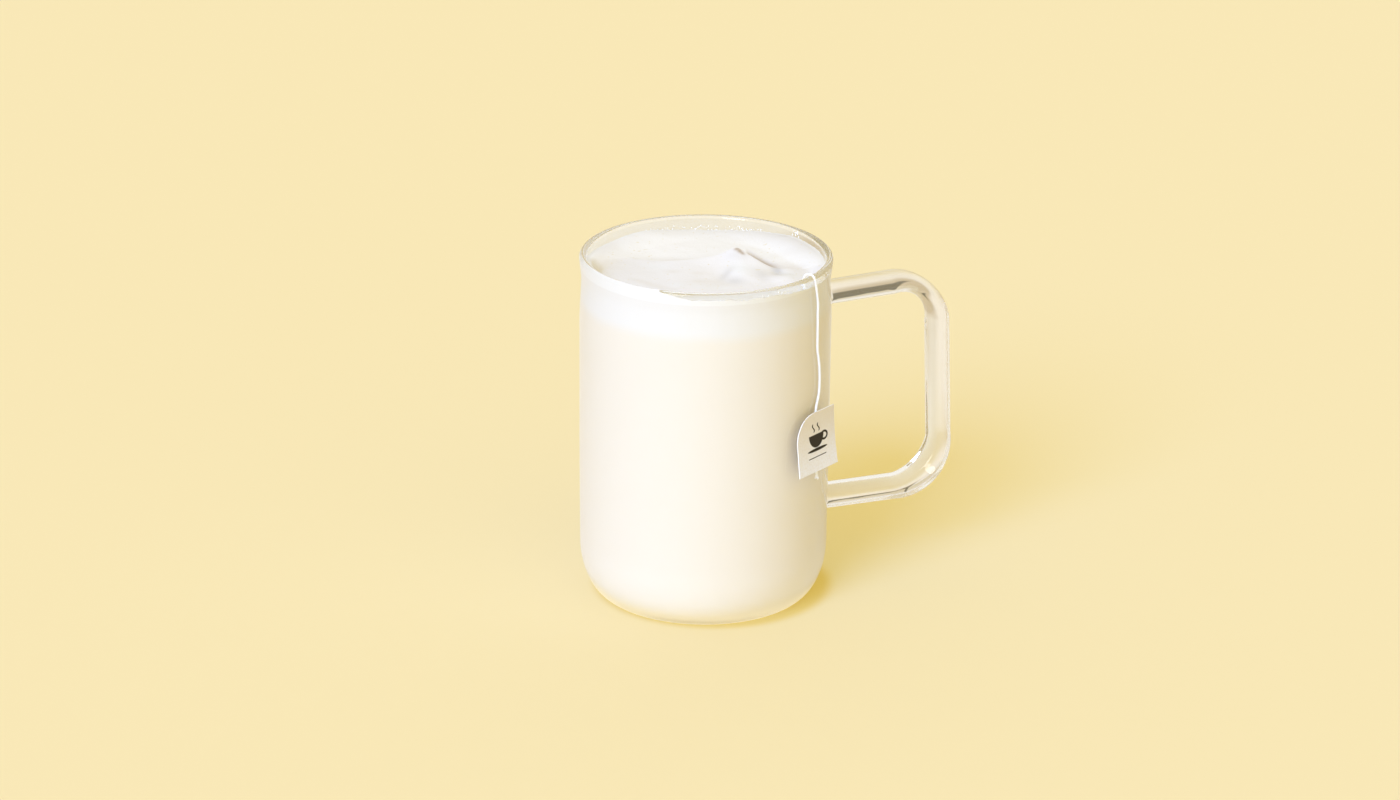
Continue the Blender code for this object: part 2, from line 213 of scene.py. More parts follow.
def parts_of(vector):
    """A vector's X, whose out gives its Y and its Z."""
    return add_node(vector.tree, "ShaderNodeSeparateXYZ", {0: vector})


def vector_of(tree, **parts):
    return add_node(tree, "ShaderNodeCombineXYZ", parts)


def mix_colours(factor, low, high):
    """The low colour where factor is 0 and the high one where it is 1."""
    low, high = (side if isinstance(side, Wire) else (*side, 1.0) for side in (low, high))
    ports = {0: factor, 6: low, 7: high}
    return add_node(factor.tree, "ShaderNodeMix", ports, 2, data_type="RGBA")


def noise_field(where, scale, detail=2.0, stretch=None):
    """Soft cloudy values round 0.5, on Object coordinates, that can be stretched by axis."""
    if stretch:
        where = add_node(where.tree, "ShaderNodeMapping", {"Vector": where, "Scale": stretch})
    ports = {"Vector": where, "Scale": scale, "Detail": detail}
    return add_node(where.tree, "ShaderNodeTexNoise", ports)


def new_finish(name, **constants):
    """A material with one Principled shader, whose constant sockets are set by name."""
    material = bpy.data.materials.new(name)
    material.use_nodes = True
    shader = material.node_tree.nodes["Principled BSDF"]
    for label, value in constants.items():
        port = shader.inputs[label.replace("_", " ")]
        is_colour = np.ndim(value) == 1 and len(port.default_value) == 4
        port.default_value = (*value, 1.0) if is_colour else value
    return material, material.node_tree, shader


def feed(wire, port):
    wire.tree.links.new(wire.socket, port)


def roughen(shader, height, strength, distance):
    """Relief too fine to model: a height that tilts the shader's normals."""
    ports = {"Strength": strength, "Distance": distance, "Height": height}
    feed(add_node(height.tree, "ShaderNodeBump", ports), shader.inputs["Normal"])


def object_place(tree):
    """Object coordinates: metres in the frame, because every finished piece sits at the origin."""
    return add_node(tree, "ShaderNodeTexCoord").out("Object")


def height_of(where):
    return parts_of(where).out("Z")


print("node helpers ready")

# %% [markdown]
# Geometry Nodes trees are built in the script too. Each one has named inputs, and shaped sets
# them on the modifier by the sockets' identifiers before the object is first evaluated. The
# result is taken as a plain mesh, because what is handed on has no live nodes or instances.
# Both the thread and the handle's rod are an outline swept along a line that twists.

# %% Geometry Nodes helpers
def new_shaper(name, **inputs):
    """An empty Geometry Nodes tree with the named inputs, and the wires that bring them in."""
    tree = bpy.data.node_groups.new(name, "GeometryNodeTree")
    for label, kind in {"Geometry": "Geometry", **inputs}.items():
        tree.interface.new_socket(label, in_out="INPUT", socket_type=f"NodeSocket{kind}")
    tree.interface.new_socket("Geometry", in_out="OUTPUT", socket_type="NodeSocketGeometry")
    entry = tree.nodes.new("NodeGroupInput")
    return tree, {socket.name: Wire(tree, socket) for socket in entry.outputs if socket.name}


def end_shaper(geometry, material):
    """The last nodes of every tree: smooth faces, real geometry in place of instances, finish."""
    tree = geometry.tree
    smooth = add_node(tree, "GeometryNodeSetShadeSmooth", {"Geometry": geometry})
    real = add_node(tree, "GeometryNodeRealizeInstances", {"Geometry": smooth})
    done = add_node(tree, "GeometryNodeSetMaterial", {"Geometry": real, "Material": material})
    add_node(tree, "NodeGroupOutput", {"Geometry": done})


def position_of(tree):
    return add_node(tree, "GeometryNodeInputPosition")


def stored(tree, name):
    """The numbers that a mesh's points carry under a name."""
    return add_node(tree, "GeometryNodeInputNamedAttribute", {"Name": name}, data_type="FLOAT")


def moved(geometry, **where):
    """Geometry with its points set to a Position or shifted by an Offset."""
    return add_node(geometry.tree, "GeometryNodeSetPosition", {"Geometry": geometry, **where})


def lobed_outline(tree, sides, lobes, depth):
    """A closed outline of radius 1 whose distance from the middle rises and falls."""
    circle = add_node(
        tree, "GeometryNodeCurvePrimitiveCircle", {"Resolution": sides, "Radius": 1.0}
    )
    place = position_of(tree)
    parts = parts_of(place)
    angle = parts.maths("ARCTAN2", parts.out("Y"), parts)
    reach = (1.0 - depth) + (angle * float(lobes)).cosine() * depth
    return moved(circle, Position=scaled(place, reach))


def swept(line, tilt, outline, scale):
    """An outline carried along a mesh line, turned by the tilt, with both ends closed."""
    curve = add_node(line.tree, "GeometryNodeMeshToCurve", {"Mesh": line})
    tilted = add_node(line.tree, "GeometryNodeSetCurveTilt", {"Curve": curve, "Tilt": tilt})
    ports = {"Curve": tilted, "Profile Curve": outline, "Scale": scale, "Fill Caps": True}
    return add_node(line.tree, "GeometryNodeCurveToMesh", ports)


def new_object(name, mesh):
    item = bpy.data.objects.new(name, mesh)
    bpy.context.scene.collection.objects.link(item)
    return item


def from_shell(name, shell):
    """A bmesh as an object; the bmesh is done with."""
    mesh = bpy.data.meshes.new(name)
    shell.to_mesh(mesh)
    shell.free()
    return new_object(name, mesh)


def plain_mesh(name, points, edges=(), faces=()):
    mesh = bpy.data.meshes.new(name)
    mesh.from_pydata([tuple(point) for point in points], list(edges), list(faces))
    mesh.update()
    return new_object(name, mesh)


def chain(name, points):
    """An object whose mesh is a line from point to point."""
    return plain_mesh(name, points, [(i, i + 1) for i in range(len(points) - 1)])


def baked(name, source):
    """The evaluated shape of an object as a plain mesh object; the source is removed."""
    graph = bpy.context.evaluated_depsgraph_get()
    mesh = bpy.data.meshes.new_from_object(source.evaluated_get(graph))
    bpy.data.objects.remove(source)
    mesh.name = name
    return new_object(name, mesh)


def shaped(name, source, tree, values):
    """Runs a Geometry Nodes tree on a source object, and returns the result as a plain mesh."""
    modifier = source.modifiers.new("Shaper", "NODES")
    modifier.node_group = tree
    for item in tree.interface.items_tree:
        if item.in_out == "INPUT" and item.name in values:
            modifier[item.identifier] = values[item.name]
    return baked(name, source)


def mesh_volume(item):
    """The volume that a closed mesh holds, in cubic metres; negative if it is inside out."""
    shell = bmesh.new()
    shell.from_mesh(item.data)
    volume = shell.calc_volume(signed=True)
    shell.free()
    return volume


def outward(item):
    """Turns a closed mesh the right way out if it isn't, and prints what it holds."""
    if mesh_volume(item) < 0.0:
        item.data.flip_normals()
    item.data.validate()
    triangles = sum(len(face.vertices) - 2 for face in item.data.polygons)
    print(f"{item.name}: {triangles} triangles, {mesh_volume(item) * 1e6:.2f} cm3")
    return item


def settle(item, slot, *nodes):
    """The piece rides on the object's one body, and the imported parts that it replaces are
    hidden; its slot is not used.
    """
    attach(item, "root")
    if nodes:
        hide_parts(*nodes)


def with_values(item, values):
    """Stores named numbers on the points of a mesh."""
    for name, numbers in values.items():
        layer = item.data.attributes.new(name, "FLOAT", "POINT")
        layer.data.foreach_set("value", np.asarray(numbers, dtype=np.float32))
    return item


print("geometry helpers ready")

# %% [markdown]
# The tea bag's string is a limp cotton thread of 1 mm. It rises out of the foam, bends over the
# rim, hangs down the glass and runs on behind its tag, with a cut end just below. Its route is a
# short list of given points, the same ones as in the imported model, and a smooth curve
# through them gives the centre line.

# %% The string's route
STRING_DIAMETER = 0.0010
STRING_ROUTE = (
    (55.3, 0.0386, 0.1176), (55.4, 0.0389, 0.1192), (55.5, 0.0393, 0.1204),
    (55.5, 0.0401, 0.1213), (55.6, 0.0413, 0.1217), (55.7, 0.0425, 0.1213),
    (55.9, 0.0432, 0.1203), (56.4, 0.0434, 0.1187), (57.9, 0.0433, 0.1150),
    (59.2, 0.0432, 0.1105), (59.2, 0.0432, 0.1060), (59.4, 0.0432, 0.1010),
    (59.5, 0.0432, 0.0953), (60.7, 0.0432, 0.0915), (61.7, 0.0432, 0.0880),
    (62.2, 0.0432, 0.0832), (61.7, 0.0432, 0.0789), (60.2, 0.0432, 0.0757),
)
STRING_TAIL = 0.0022
STRING_ASIDE = 0.0018
STRING_ROOT = FOAM_LEVEL - 0.0010
GAP = 0.0003
TAG_WIDTH = 0.0198
TAG_HEIGHT = 0.0205
TAG_THICKNESS = 0.00035
TAG_CORNER = 0.0094
TAG_CENTRE = (55.85, 0.0452, 0.06345)
TAG_FACES = math.radians(50.0)
TAG_LEAN = math.radians(5.0)
TAG_TWIST = math.radians(1.4)
BEHIND_TAG = (0.92, 0.3, -0.3)
ROUTE_STEPS = 16
STRING_STEP = 0.0004


def hang(turn, radius, height):
    """A point by degrees round from HANG_TURN, distance from the axis, and height."""
    angle = HANG_TURN + math.radians(turn)
    return Vector((radius * math.cos(angle), radius * math.sin(angle), height))


def tag_axes():
    """The tag's centre and its directions to the right, up and out, as seen from its front."""
    centre = hang(*TAG_CENTRE)
    angle = HANG_TURN + TAG_FACES
    out = Vector((math.cos(angle), math.sin(angle), 0.0))
    right = Vector((-math.sin(angle), math.cos(angle), 0.0))
    up = Vector((0.0, 0.0, 1.0)) * math.cos(TAG_LEAN) - out * math.sin(TAG_LEAN)
    right, up = (
        right * math.cos(TAG_TWIST) + up * math.sin(TAG_TWIST),
        up * math.cos(TAG_TWIST) - right * math.sin(TAG_TWIST),
    )
    return centre, right, up, right.cross(up)


def smooth_route(points, step):
    """Points about a step apart on the smooth curve through a route's own points."""
    ends = [points[0] * 2 - points[1], *points, points[-1] * 2 - points[-2]]
    fine = []
    for a, b, c, d in zip(ends, ends[1:], ends[2:], ends[3:]):
        for t in (i / ROUTE_STEPS for i in range(ROUTE_STEPS)):
            fine.append(
                0.5 * (2 * b + (c - a) * t + (2 * a - 5 * b + 4 * c - d) * t * t
                       + (3 * b - 3 * c + d - a) * t ** 3)
            )
    fine.append(points[-1])
    lengths = np.concatenate([[0.0], np.cumsum([(b - a).length for a, b in zip(fine, fine[1:])])])
    wanted = np.linspace(0.0, lengths[-1], round(lengths[-1] / step) + 1)
    spaced = [np.interp(wanted, lengths, [point[k] for point in fine]) for k in range(3)]
    return [Vector(point) for point in zip(*spaced)], float(lengths[-1])


def string_route():
    centre, right, up, out = tag_axes()
    behind = centre - out * (TAG_THICKNESS / 2 + GAP + STRING_DIAMETER / 2)
    route = [hang(*row) for row in STRING_ROUTE]
    route.insert(0, Vector((route[0].x, route[0].y, STRING_ROOT)))
    half = TAG_HEIGHT / 2
    for share in BEHIND_TAG:
        aside = STRING_ASIDE * (share + 1.0) / 2
        route.append(behind + up * (half * share) + right * aside)
    route.append(behind - up * (half + STRING_TAIL))
    return route


string_path, STRING_LENGTH = smooth_route(string_route(), STRING_STEP)
print(f"string: {STRING_LENGTH * 1000:.1f} mm long, {len(string_path)} points")

# %% [markdown]
# The thread itself is three plies twisted round each other. In Geometry Nodes that is one
# three-lobed outline, swept along the route while the curve's tilt turns it: Set Curve Tilt
# takes the length along the curve, so the twist has the same pitch everywhere. Noise on the
# surface roughens it as loose cotton does.

# %% The twisted thread
TWIST_PITCH = 0.0021
THREAD_SIDES = 18
LOBES = 3
LOBE_DEPTH = 0.16
FUZZ = 0.00005
FUZZ_SCALE = 2600.0
COTTON_DULL = (0.86, 0.84, 0.80)
COTTON_BRIGHT = (0.97, 0.965, 0.95)


def thread_tree(material):
    tree, given = new_shaper(
        "twisted_thread", Radius="Float", Pitch="Float", Lobes="Float", Fuzz="Float"
    )
    along_line = add_node(tree, "GeometryNodeSplineParameter").out("Length")
    thread = swept(
        given["Geometry"], along_line * math.tau / given["Pitch"],
        lobed_outline(tree, THREAD_SIDES, LOBES, given["Lobes"]), given["Radius"],
    )
    push = (noise_field(position_of(tree), FUZZ_SCALE) - 0.5) * 2.0 * given["Fuzz"]
    normal = add_node(tree, "GeometryNodeInputNormal")
    end_shaper(moved(thread, Offset=scaled(normal, push)), material)
    return tree


def cotton_finish():
    """White bleached cotton: matt, with a faint sheen and fine bright and dull fibres."""
    material, tree, shader = new_finish(
        "cotton_string", Roughness=0.9, Specular_IOR_Level=0.2, Sheen_Weight=0.25,
        Subsurface_Weight=0.35, Subsurface_Radius=(1.0, 0.95, 0.9), Subsurface_Scale=0.0006,
    )
    fibres = noise_field(object_place(tree), 3000.0, 3.0, (1.0, 1.0, 0.35))
    feed(mix_colours(fibres, COTTON_DULL, COTTON_BRIGHT), shader.inputs["Base Color"])
    roughen(shader, fibres, 0.4, 0.00005)
    return material


cotton = cotton_finish()
string_piece = outward(shaped(
    "string_thread",
    chain("string_line", string_path),
    thread_tree(cotton),
    {"Radius": STRING_DIAMETER / 2, "Pitch": TWIST_PITCH, "Lobes": LOBE_DEPTH, "Fuzz": FUZZ},
))

# %% [markdown]
# Where the thread was cut its fibres spread. They are short bent tubes, each from its own small
# curve with a round bevel, which is quick to write and gives closed meshes.

# %% The cut end
FRAY_FIBRES = 16
FRAY_JOINTS = 4
FRAY_LENGTH = 0.0016
FRAY_RADIUS = 0.00007
FRAY_ROOT = 0.0005
FRAY_SPREAD = (0.10, 0.28)
FRAY_OFF_CENTRE = 0.3


def frayed_end():
    """Short fibres that spread from the thread's cut end."""
    dice = np.random.default_rng(7)
    tip, before = string_path[-1], string_path[-6]
    down = (tip - before).normalized()
    side = down.cross(Vector((0.0, 0.0, 1.0)).cross(down)).normalized()
    other = down.cross(side)
    curve = bpy.data.curves.new("string_fray", "CURVE")
    curve.dimensions = "3D"
    curve.bevel_depth = FRAY_RADIUS
    curve.bevel_resolution = 1
    curve.use_fill_caps = True
    for i in range(FRAY_FIBRES):
        angle = math.tau * i / FRAY_FIBRES + dice.uniform(-0.2, 0.2)
        spread = side * math.cos(angle) + other * math.sin(angle)
        off_centre = STRING_DIAMETER * FRAY_OFF_CENTRE * dice.uniform(0.2, 1.0)
        start = tip + spread * off_centre - down * FRAY_ROOT
        length = FRAY_LENGTH * dice.uniform(0.6, 1.0)
        spline = curve.splines.new("POLY")
        spline.points.add(FRAY_JOINTS)
        for k, spot in enumerate(spline.points):
            t = k / FRAY_JOINTS
            opened = FRAY_SPREAD[0] * t + FRAY_SPREAD[1] * t * t
            out = spread * (length * opened * dice.uniform(0.8, 1.2))
            spot.co = (*(start + down * (length * t) + out), 1.0)
    fray = baked("string_fray", new_object("string_fray_line", curve))
    fray.data.materials.clear()
    fray.data.materials.append(cotton)
    fray.data.shade_smooth()
    return fray


fray = outward(frayed_end())

# %% [markdown]
# The mug is borosilicate glass, blown to shape: a straight wall that turns into the floor with a
# soft corner and ends in a rounded lip. A turned piece is a profile carried round the axis.
# The tree below does that with a grid: each column is one step round the axis, and each row
# takes its distance from the axis and its height from one point of the profile, with Sample
# Index. The same tree turns the glass and the tea.

# %% Turning a profile
CORNER_STEPS = 24
WELD = 0.000002


def ease(share):
    """0 to 1 with a level start and end."""
    share = np.clip(share, 0.0, 1.0)
    return share * share * (3.0 - 2.0 * share)


def passage(value, start, width):
    """0 before start and 1 a width after it, with a soft passage between them."""
    return ease((value - start) / width)


def bell(value, middle, width):
    """1 at the middle, and hardly anything two widths away from it."""
    return np.exp(-(((value - middle) / width) ** 2))


def outer_radius(height):
    """The wall's outside radius at a height, eased between its named heights."""
    for (low, start), (high, end) in zip(OUTSIDE, OUTSIDE[1:]):
        if height <= high:
            return float(start + (end - start) * passage(height, low, high - low))
    return OUTSIDE[-1][1]


def inner_radius(height):
    return outer_radius(height) - WALL


def arc(centre, radii, start, end, steps):
    """Points on an ellipse in the plane of a profile, from one angle to another, in degrees."""
    return [
        (centre[0] + radii[0] * math.cos(a), centre[1] + radii[1] * math.sin(a))
        for a in np.radians(np.linspace(start, end, steps + 1))
    ]


def inner_corner(out_by=0.0):
    """The curve from the inside floor to the inside wall, grown outwards by a little."""
    radii = (
        inner_radius(CORNER_HEIGHT) + out_by - FLOOR_RADIUS,
        CORNER_HEIGHT - FLOOR + out_by,
    )
    return arc((FLOOR_RADIUS, CORNER_HEIGHT), radii, -90.0, 0.0, CORNER_STEPS)


def lathe_tree(material):
    tree, given = new_shaper("turned_profile", Steps="Int")
    profile, steps = given["Geometry"], given["Steps"]
    count = add_node(
        tree, "GeometryNodeAttributeDomainSize", {"Geometry": profile}, "Point Count"
    )
    rows = count - 1.0
    grid = add_node(tree, "GeometryNodeMeshGrid", {
        "Size X": steps * 1.0, "Size Y": rows, "Vertices X": steps + 1.0, "Vertices Y": count,
    })
    place = position_of(tree)
    cell = parts_of(place)
    row = cell.maths("ROUND", cell.out("Y") + rows / 2.0)
    angle = (cell + steps / 2.0) * math.tau / steps
    spot = parts_of(add_node(
        tree, "GeometryNodeSampleIndex", {"Geometry": profile, "Value": place, "Index": row},
        data_type="FLOAT_VECTOR", domain="POINT",
    ))
    turned = vector_of(tree, X=spot * angle.cosine(), Y=spot * angle.sine(), Z=spot.out("Z"))
    welded = add_node(
        tree, "GeometryNodeMergeByDistance",
        {"Geometry": moved(grid, Position=turned), "Distance": WELD},
    )
    end_shaper(welded, material)
    return tree


def turned_piece(name, profile, material, steps):
    """A closed profile of (radius, height) points, turned round the mug's axis."""
    line = chain(name + "_profile", [(radius, 0.0, height) for radius, height in profile])
    return outward(shaped(name, line, lathe_tree(material), {"Steps": steps}))


print(f"wall at half height: {outer_radius(MUG_HEIGHT / 2) * 1000:.2f} mm radius")

# %% [markdown]
# Clear glass is a Principled shader with full transmission and an index of 1.47. Light that
# has to reach the drink through a refracting wall is slow to find and leaves bright speckles, so
# shadow rays and the rays that leave a matt surface go straight through with a slight tint: each
# is a Mix Shader whose factor is the Light Path node's own output. A ray that is thrown about in
# thick glass ends black when the renderer stops following it, so after a few turns Alpha lets it
# out instead. The wall and the handle's rod have a finish each, because a thick rod looks
# darker and warmer than a thin wall. A long low ripple on the surface is what tells real glass
# from a perfect one.

# %% Clear glass
LOST_MIRRORED = (2.1, 2.9)
LOST_DEPTH = (8.1, 8.9)
GLASS_COLOUR = (0.975, 0.985, 0.965)
ROD_COLOUR = (0.945, 0.935, 0.915)
WALL_SHADE = (0.96, 0.96, 0.95)
ROD_SHADE = (0.80, 0.79, 0.70)
RIPPLE_SCALE = 55.0


def glass_finish(name, colour, shade):
    """Clear glass of one colour, which lamplight passes with the given tint."""
    material, tree, shader = new_finish(
        name, Base_Color=colour, Roughness=0.0, IOR=1.47, Transmission_Weight=1.0
    )
    roughen(shader, noise_field(object_place(tree), RIPPLE_SCALE, 1.0), 0.10, 0.002)
    path = add_node(tree, "ShaderNodeLightPath")
    lost = path.out("Glossy Depth").ease(*LOST_MIRRORED)
    lost = lost.most(path.out("Ray Depth").ease(*LOST_DEPTH))
    feed(1 - lost, shader.inputs["Alpha"])
    clear = add_node(tree, "ShaderNodeBsdfTransparent", {"Color": (*shade, 1.0)})
    surface = Wire(tree, shader.outputs[0])
    for straight in ("Is Diffuse Ray", "Is Shadow Ray"):
        surface = add_node(
            tree, "ShaderNodeMixShader", {0: path.out(straight), 1: surface, 2: clear}
        )
    feed(surface, tree.nodes["Material Output"].inputs["Surface"])
    return material


glass = glass_finish("clear_glass", GLASS_COLOUR, WALL_SHADE)
rod_glass = glass_finish("clear_glass_rod", ROD_COLOUR, ROD_SHADE)
print("glass finishes", glass.name, rod_glass.name)

# %% [markdown]
# The wall's profile runs from the middle of the inside floor up the inside, over the lip and
# down the outside to the middle of the foot. Round stretches are arcs, and the wall's gentle
# swelling and its drawn-in neck come from outer_radius.

# %% The mug's wall
LIP_STEPS = 14
WALL_STEPS = 30
WALL_SIDES = 192


def shell_profile():
    half = WALL / 2
    heights = np.linspace(CORNER_HEIGHT, LIP_START, WALL_STEPS + 1)
    inside = [(0.0, FLOOR), *inner_corner()]
    inside += [(inner_radius(z), z) for z in heights[1:-1]]
    lip_radii = (half, MUG_HEIGHT - LIP_START)
    lip = arc((RIM_RADIUS - half, LIP_START), lip_radii, 180.0, 0.0, LIP_STEPS)
    outside = [(outer_radius(z), z) for z in reversed(heights[1:-1])]
    corner_radii = (LOW_RADIUS - FOOT_RADIUS, CORNER_HEIGHT)
    corner = arc((FOOT_RADIUS, CORNER_HEIGHT), corner_radii, 0.0, -90.0, CORNER_STEPS)
    return [*inside, *lip, *outside, *corner, (0.0, 0.0)]


mug_wall = turned_piece("mug_wall", shell_profile(), glass, WALL_SIDES)

# %% [markdown]
# The handle is one glass rod, heated and bent at two corners, with both ends pressed to the wall.
# Where it was bent last, at the top, the rod is drawn thin in the plane of the bend but keeps its
# breadth. A rod worked by hand isn't quite round: it has four soft flats, and they turn slowly
# along it. So the centre line carries three numbers at each point: how thick the rod is, how
# much broader than thick, and how far its flats have turned. Curve to Mesh takes the first as its
# scale, Set Curve Tilt the last, and the other one stretches the tube across the handle's plane.

# %% The handle's rod
ROD_RADIUS = 0.0046
ROD_START = 0.0412
ROD_SIDES = 72
ROD_LOBES = 4
ROD_FLATS = 0.045
ROD_TWIST = (0.35, 0.15, 0.75)
ARM_FROM = 0.0450
TOP_HEIGHT = 0.1017
ARM_RISE = 0.036
TOP_REACH = 0.0851
TOP_BEND = 0.0161
LOW_HEIGHT = 0.0275
ARM_FALL = 0.003
LOW_REACH = 0.0882
LOW_BEND = 0.0166
BEND_STEPS = 36
ARM_STEPS = 14
FLARE_LENGTH = 0.0036
FLARE_STEPS = 10
FLARE = 1.28
TOP_BEND_SHARE = 0.71
UPRIGHT_SHARE = 0.957
LOW_BEND_SHARE = 1.17


def rounded(before, corner, after, radius, steps):
    """The arc that rounds a corner between two straight runs."""
    one, two = (before - corner).normalized(), (after - corner).normalized()
    half = one.angle(two) / 2
    centre = corner + (one + two).normalized() * (radius / math.sin(half))
    start = corner + one * (radius / math.tan(half)) - centre
    end = corner + two * (radius / math.tan(half)) - centre
    sweep = start.angle(end)
    return [
        centre
        + (start * math.sin(sweep * (1 - i / steps)) + end * math.sin(sweep * i / steps))
        / math.sin(sweep)
        for i in range(steps + 1)
    ]


def handle_path():
    """The rod's centre line, with its thickness and its breadth at each point, as shares."""
    start_top, top_corner = (
        Vector((x, 0.0, TOP_HEIGHT + ARM_RISE * (x - ARM_FROM))) for x in (ROD_START, TOP_REACH)
    )
    start_low, low_corner = (
        Vector((x, 0.0, LOW_HEIGHT - ARM_FALL * (x - ARM_FROM))) for x in (ROD_START, LOW_REACH)
    )
    flare = [
        (FLARE_LENGTH * i / FLARE_STEPS, 1.0 + (FLARE - 1.0) * (1.0 - i / FLARE_STEPS) ** 2)
        for i in range(FLARE_STEPS + 1)
    ]
    path = [
        (start_top + (top_corner - start_top).normalized() * reach, share, 1.0)
        for reach, share in flare
    ]
    corners = (
        (start_top, top_corner, low_corner, TOP_BEND, (1.0, TOP_BEND_SHARE, UPRIGHT_SHARE)),
        (top_corner, low_corner, start_low, LOW_BEND, (UPRIGHT_SHARE, LOW_BEND_SHARE, 1.0)),
    )
    for before, corner, after, radius, (first, middle, last) in corners:
        bend = rounded(before, corner, after, radius, BEND_STEPS)
        start, thickness, _ = path[-1]
        for i in range(1, ARM_STEPS):
            t = i / ARM_STEPS
            path.append((start.lerp(bend[0], t), thickness + (first - thickness) * t, 1.0))
        for i, point in enumerate(bend):
            t = i / BEND_STEPS
            level = first + (last - first) * t
            share = level + (middle - (first + last) / 2) * math.sin(math.pi * t)
            path.append((point, share, max(level / share, 1.0)))
    start = path[-1][0]
    end = start_low + (low_corner - start_low).normalized() * FLARE_LENGTH
    for i in range(1, ARM_STEPS):
        path.append((start.lerp(end, i / ARM_STEPS), 1.0, 1.0))
    path += [
        (start_low + (low_corner - start_low).normalized() * reach, share, 1.0)
        for reach, share in reversed(flare)
    ]
    return path


def rod_tree(material):
    tree, given = new_shaper("bent_rod", Radius="Float", Sides="Int", Flats="Float")
    rod = swept(
        given["Geometry"], stored(tree, "twist"),
        lobed_outline(tree, given["Sides"], ROD_LOBES, given["Flats"]),
        stored(tree, "thickness") * given["Radius"],
    )
    parts = parts_of(position_of(tree))
    wide = vector_of(
        tree, X=parts, Y=parts.out("Y") * stored(tree, "breadth"), Z=parts.out("Z")
    )
    end_shaper(moved(rod, Position=wide), material)
    return tree


rod_line = handle_path()
rod_chain = with_values(
    chain("handle_line", [point for point, _, _ in rod_line]),
    {
        "thickness": [thickness for _, thickness, _ in rod_line],
        "breadth": [breadth for _, _, breadth in rod_line],
        "twist": np.interp(np.linspace(0.0, 2.0, len(rod_line)), (0.0, 1.0, 2.0), ROD_TWIST),
    },
)
handle_rod = outward(shaped(
    "handle_rod", rod_chain, rod_tree(glass),
    {"Radius": ROD_RADIUS, "Sides": ROD_SIDES, "Flats": ROD_FLATS},
))

# %% [markdown]
# The rod and the wall are one piece of glass, so a Boolean union joins them and takes away what
# lies inside. Otherwise light would bend at surfaces that aren't there. The rod's faces then get
# the rod's finish.

# %% One piece of glass
GLASS_SHARP = math.radians(35.0)


def joined_glass(wall, rod):
    fuse = wall.modifiers.new("Fuse the handle", "BOOLEAN")
    fuse.operation = "UNION"
    fuse.solver = "EXACT"
    fuse.object = rod
    fused = baked("glass_body", wall)
    bpy.data.objects.remove(rod)
    fused.data.materials.clear()
    fused.data.materials.append(glass)
    fused.data.materials.append(rod_glass)
    fused.data.shade_smooth()
    fused.data.set_sharp_from_angle(angle=GLASS_SHARP)
    return fused


glass_body = outward(joined_glass(mug_wall, handle_rod))
for face in glass_body.data.polygons:
    face.material_index = 1 if face.center.x > ROD_START else 0

# %% [markdown]
# The drink fills the glass to the wall. Its pieces reach just past the inside wall, into the
# glass, so no film of air shows between them. Milky tea is a cloudy liquid that scatters light
# within a millimetre or so. Subsurface scattering would do that, but from here it looks like a
# matt surface with hardly any gloss, which is quicker and cleaner, so that is what it has. It is
# a little deeper in soft clouds, and paler near the bottom, a painted light where the pale floor
# shines in. Its colour runs into the foam's over a few millimetres, because the two have no sharp
# border.

# %% Milky tea
INTO_WALL = 0.00012
TEA_COLOUR = (0.790, 0.725, 0.629)
TEA_PAINTED_FLOOR_LIGHT = (0.848, 0.800, 0.714)
TEA_DEEP = (0.788, 0.724, 0.620)
FOAM_COLOUR = (0.776, 0.748, 0.708)
FLOOR_LIGHT_HEIGHTS = (0.003, 0.024)
BORDER_HEIGHTS = (0.1015, 0.1068)
BORDER_WAVER = 0.002
TEA_ROWS = 22
TEA_SIDES = 144
DRINK_SHARP = math.radians(50.0)


def border_mask(where):
    """0 in the tea and 1 in the foam, with a soft and slightly uneven border."""
    waver = noise_field(where, 45.0, 2.0)
    return (height_of(where) + (waver - 0.5) * BORDER_WAVER).ease(*BORDER_HEIGHTS)


def milk_finish(name, roughness, specular):
    """The finish of the whole drink, tea and foam, with its place and its colour as wires."""
    material, tree, shader = new_finish(
        name, Roughness=roughness, Specular_IOR_Level=specular
    )
    where = object_place(tree)
    clouds = noise_field(where, 30.0, 3.0, (1.0, 1.0, 0.3))
    clouded = mix_colours(clouds, TEA_DEEP, TEA_COLOUR)
    # Paler near the bottom: a painted light for the pale floor that shines in.
    tea = mix_colours(height_of(where).ease(*FLOOR_LIGHT_HEIGHTS), TEA_PAINTED_FLOOR_LIGHT, clouded)
    colour = mix_colours(border_mask(where), tea, FOAM_COLOUR)
    return material, tree, shader, where, colour


def tea_finish():
    material, _, shader, _, colour = milk_finish("milky_tea", 0.5, 0.0)
    feed(colour, shader.inputs["Base Color"])
    return material


def tea_profile():
    heights = np.linspace(CORNER_HEIGHT, FOAM_BOTTOM, TEA_ROWS)
    wall = [(inner_radius(z) + INTO_WALL, z) for z in heights[1:]]
    return [
        (0.0, FLOOR - INTO_WALL), *inner_corner(INTO_WALL), *wall,
        *[(wall[-1][0] * share, FOAM_BOTTOM) for share in (0.75, 0.5, 0.25)], (0.0, FOAM_BOTTOM),
    ]


tea_fill = turned_piece("tea_fill", tea_profile(), tea_finish(), TEA_SIDES)
tea_fill.data.set_sharp_from_angle(angle=DRINK_SHARP)

# %% [markdown]
# The foam's top is a height for each place in the mug, so it is a grid, and numpy works out all
# its heights at once. The fold that the milk made when it was poured runs across the mug: a
# gentle slope in front, a steep back, and a shallow cleft behind its right part. At the glass
# the foam climbs, by a height that is listed turn by turn: steeply in front, where it clings in
# ragged lobes, and in a long low slope at the rear.

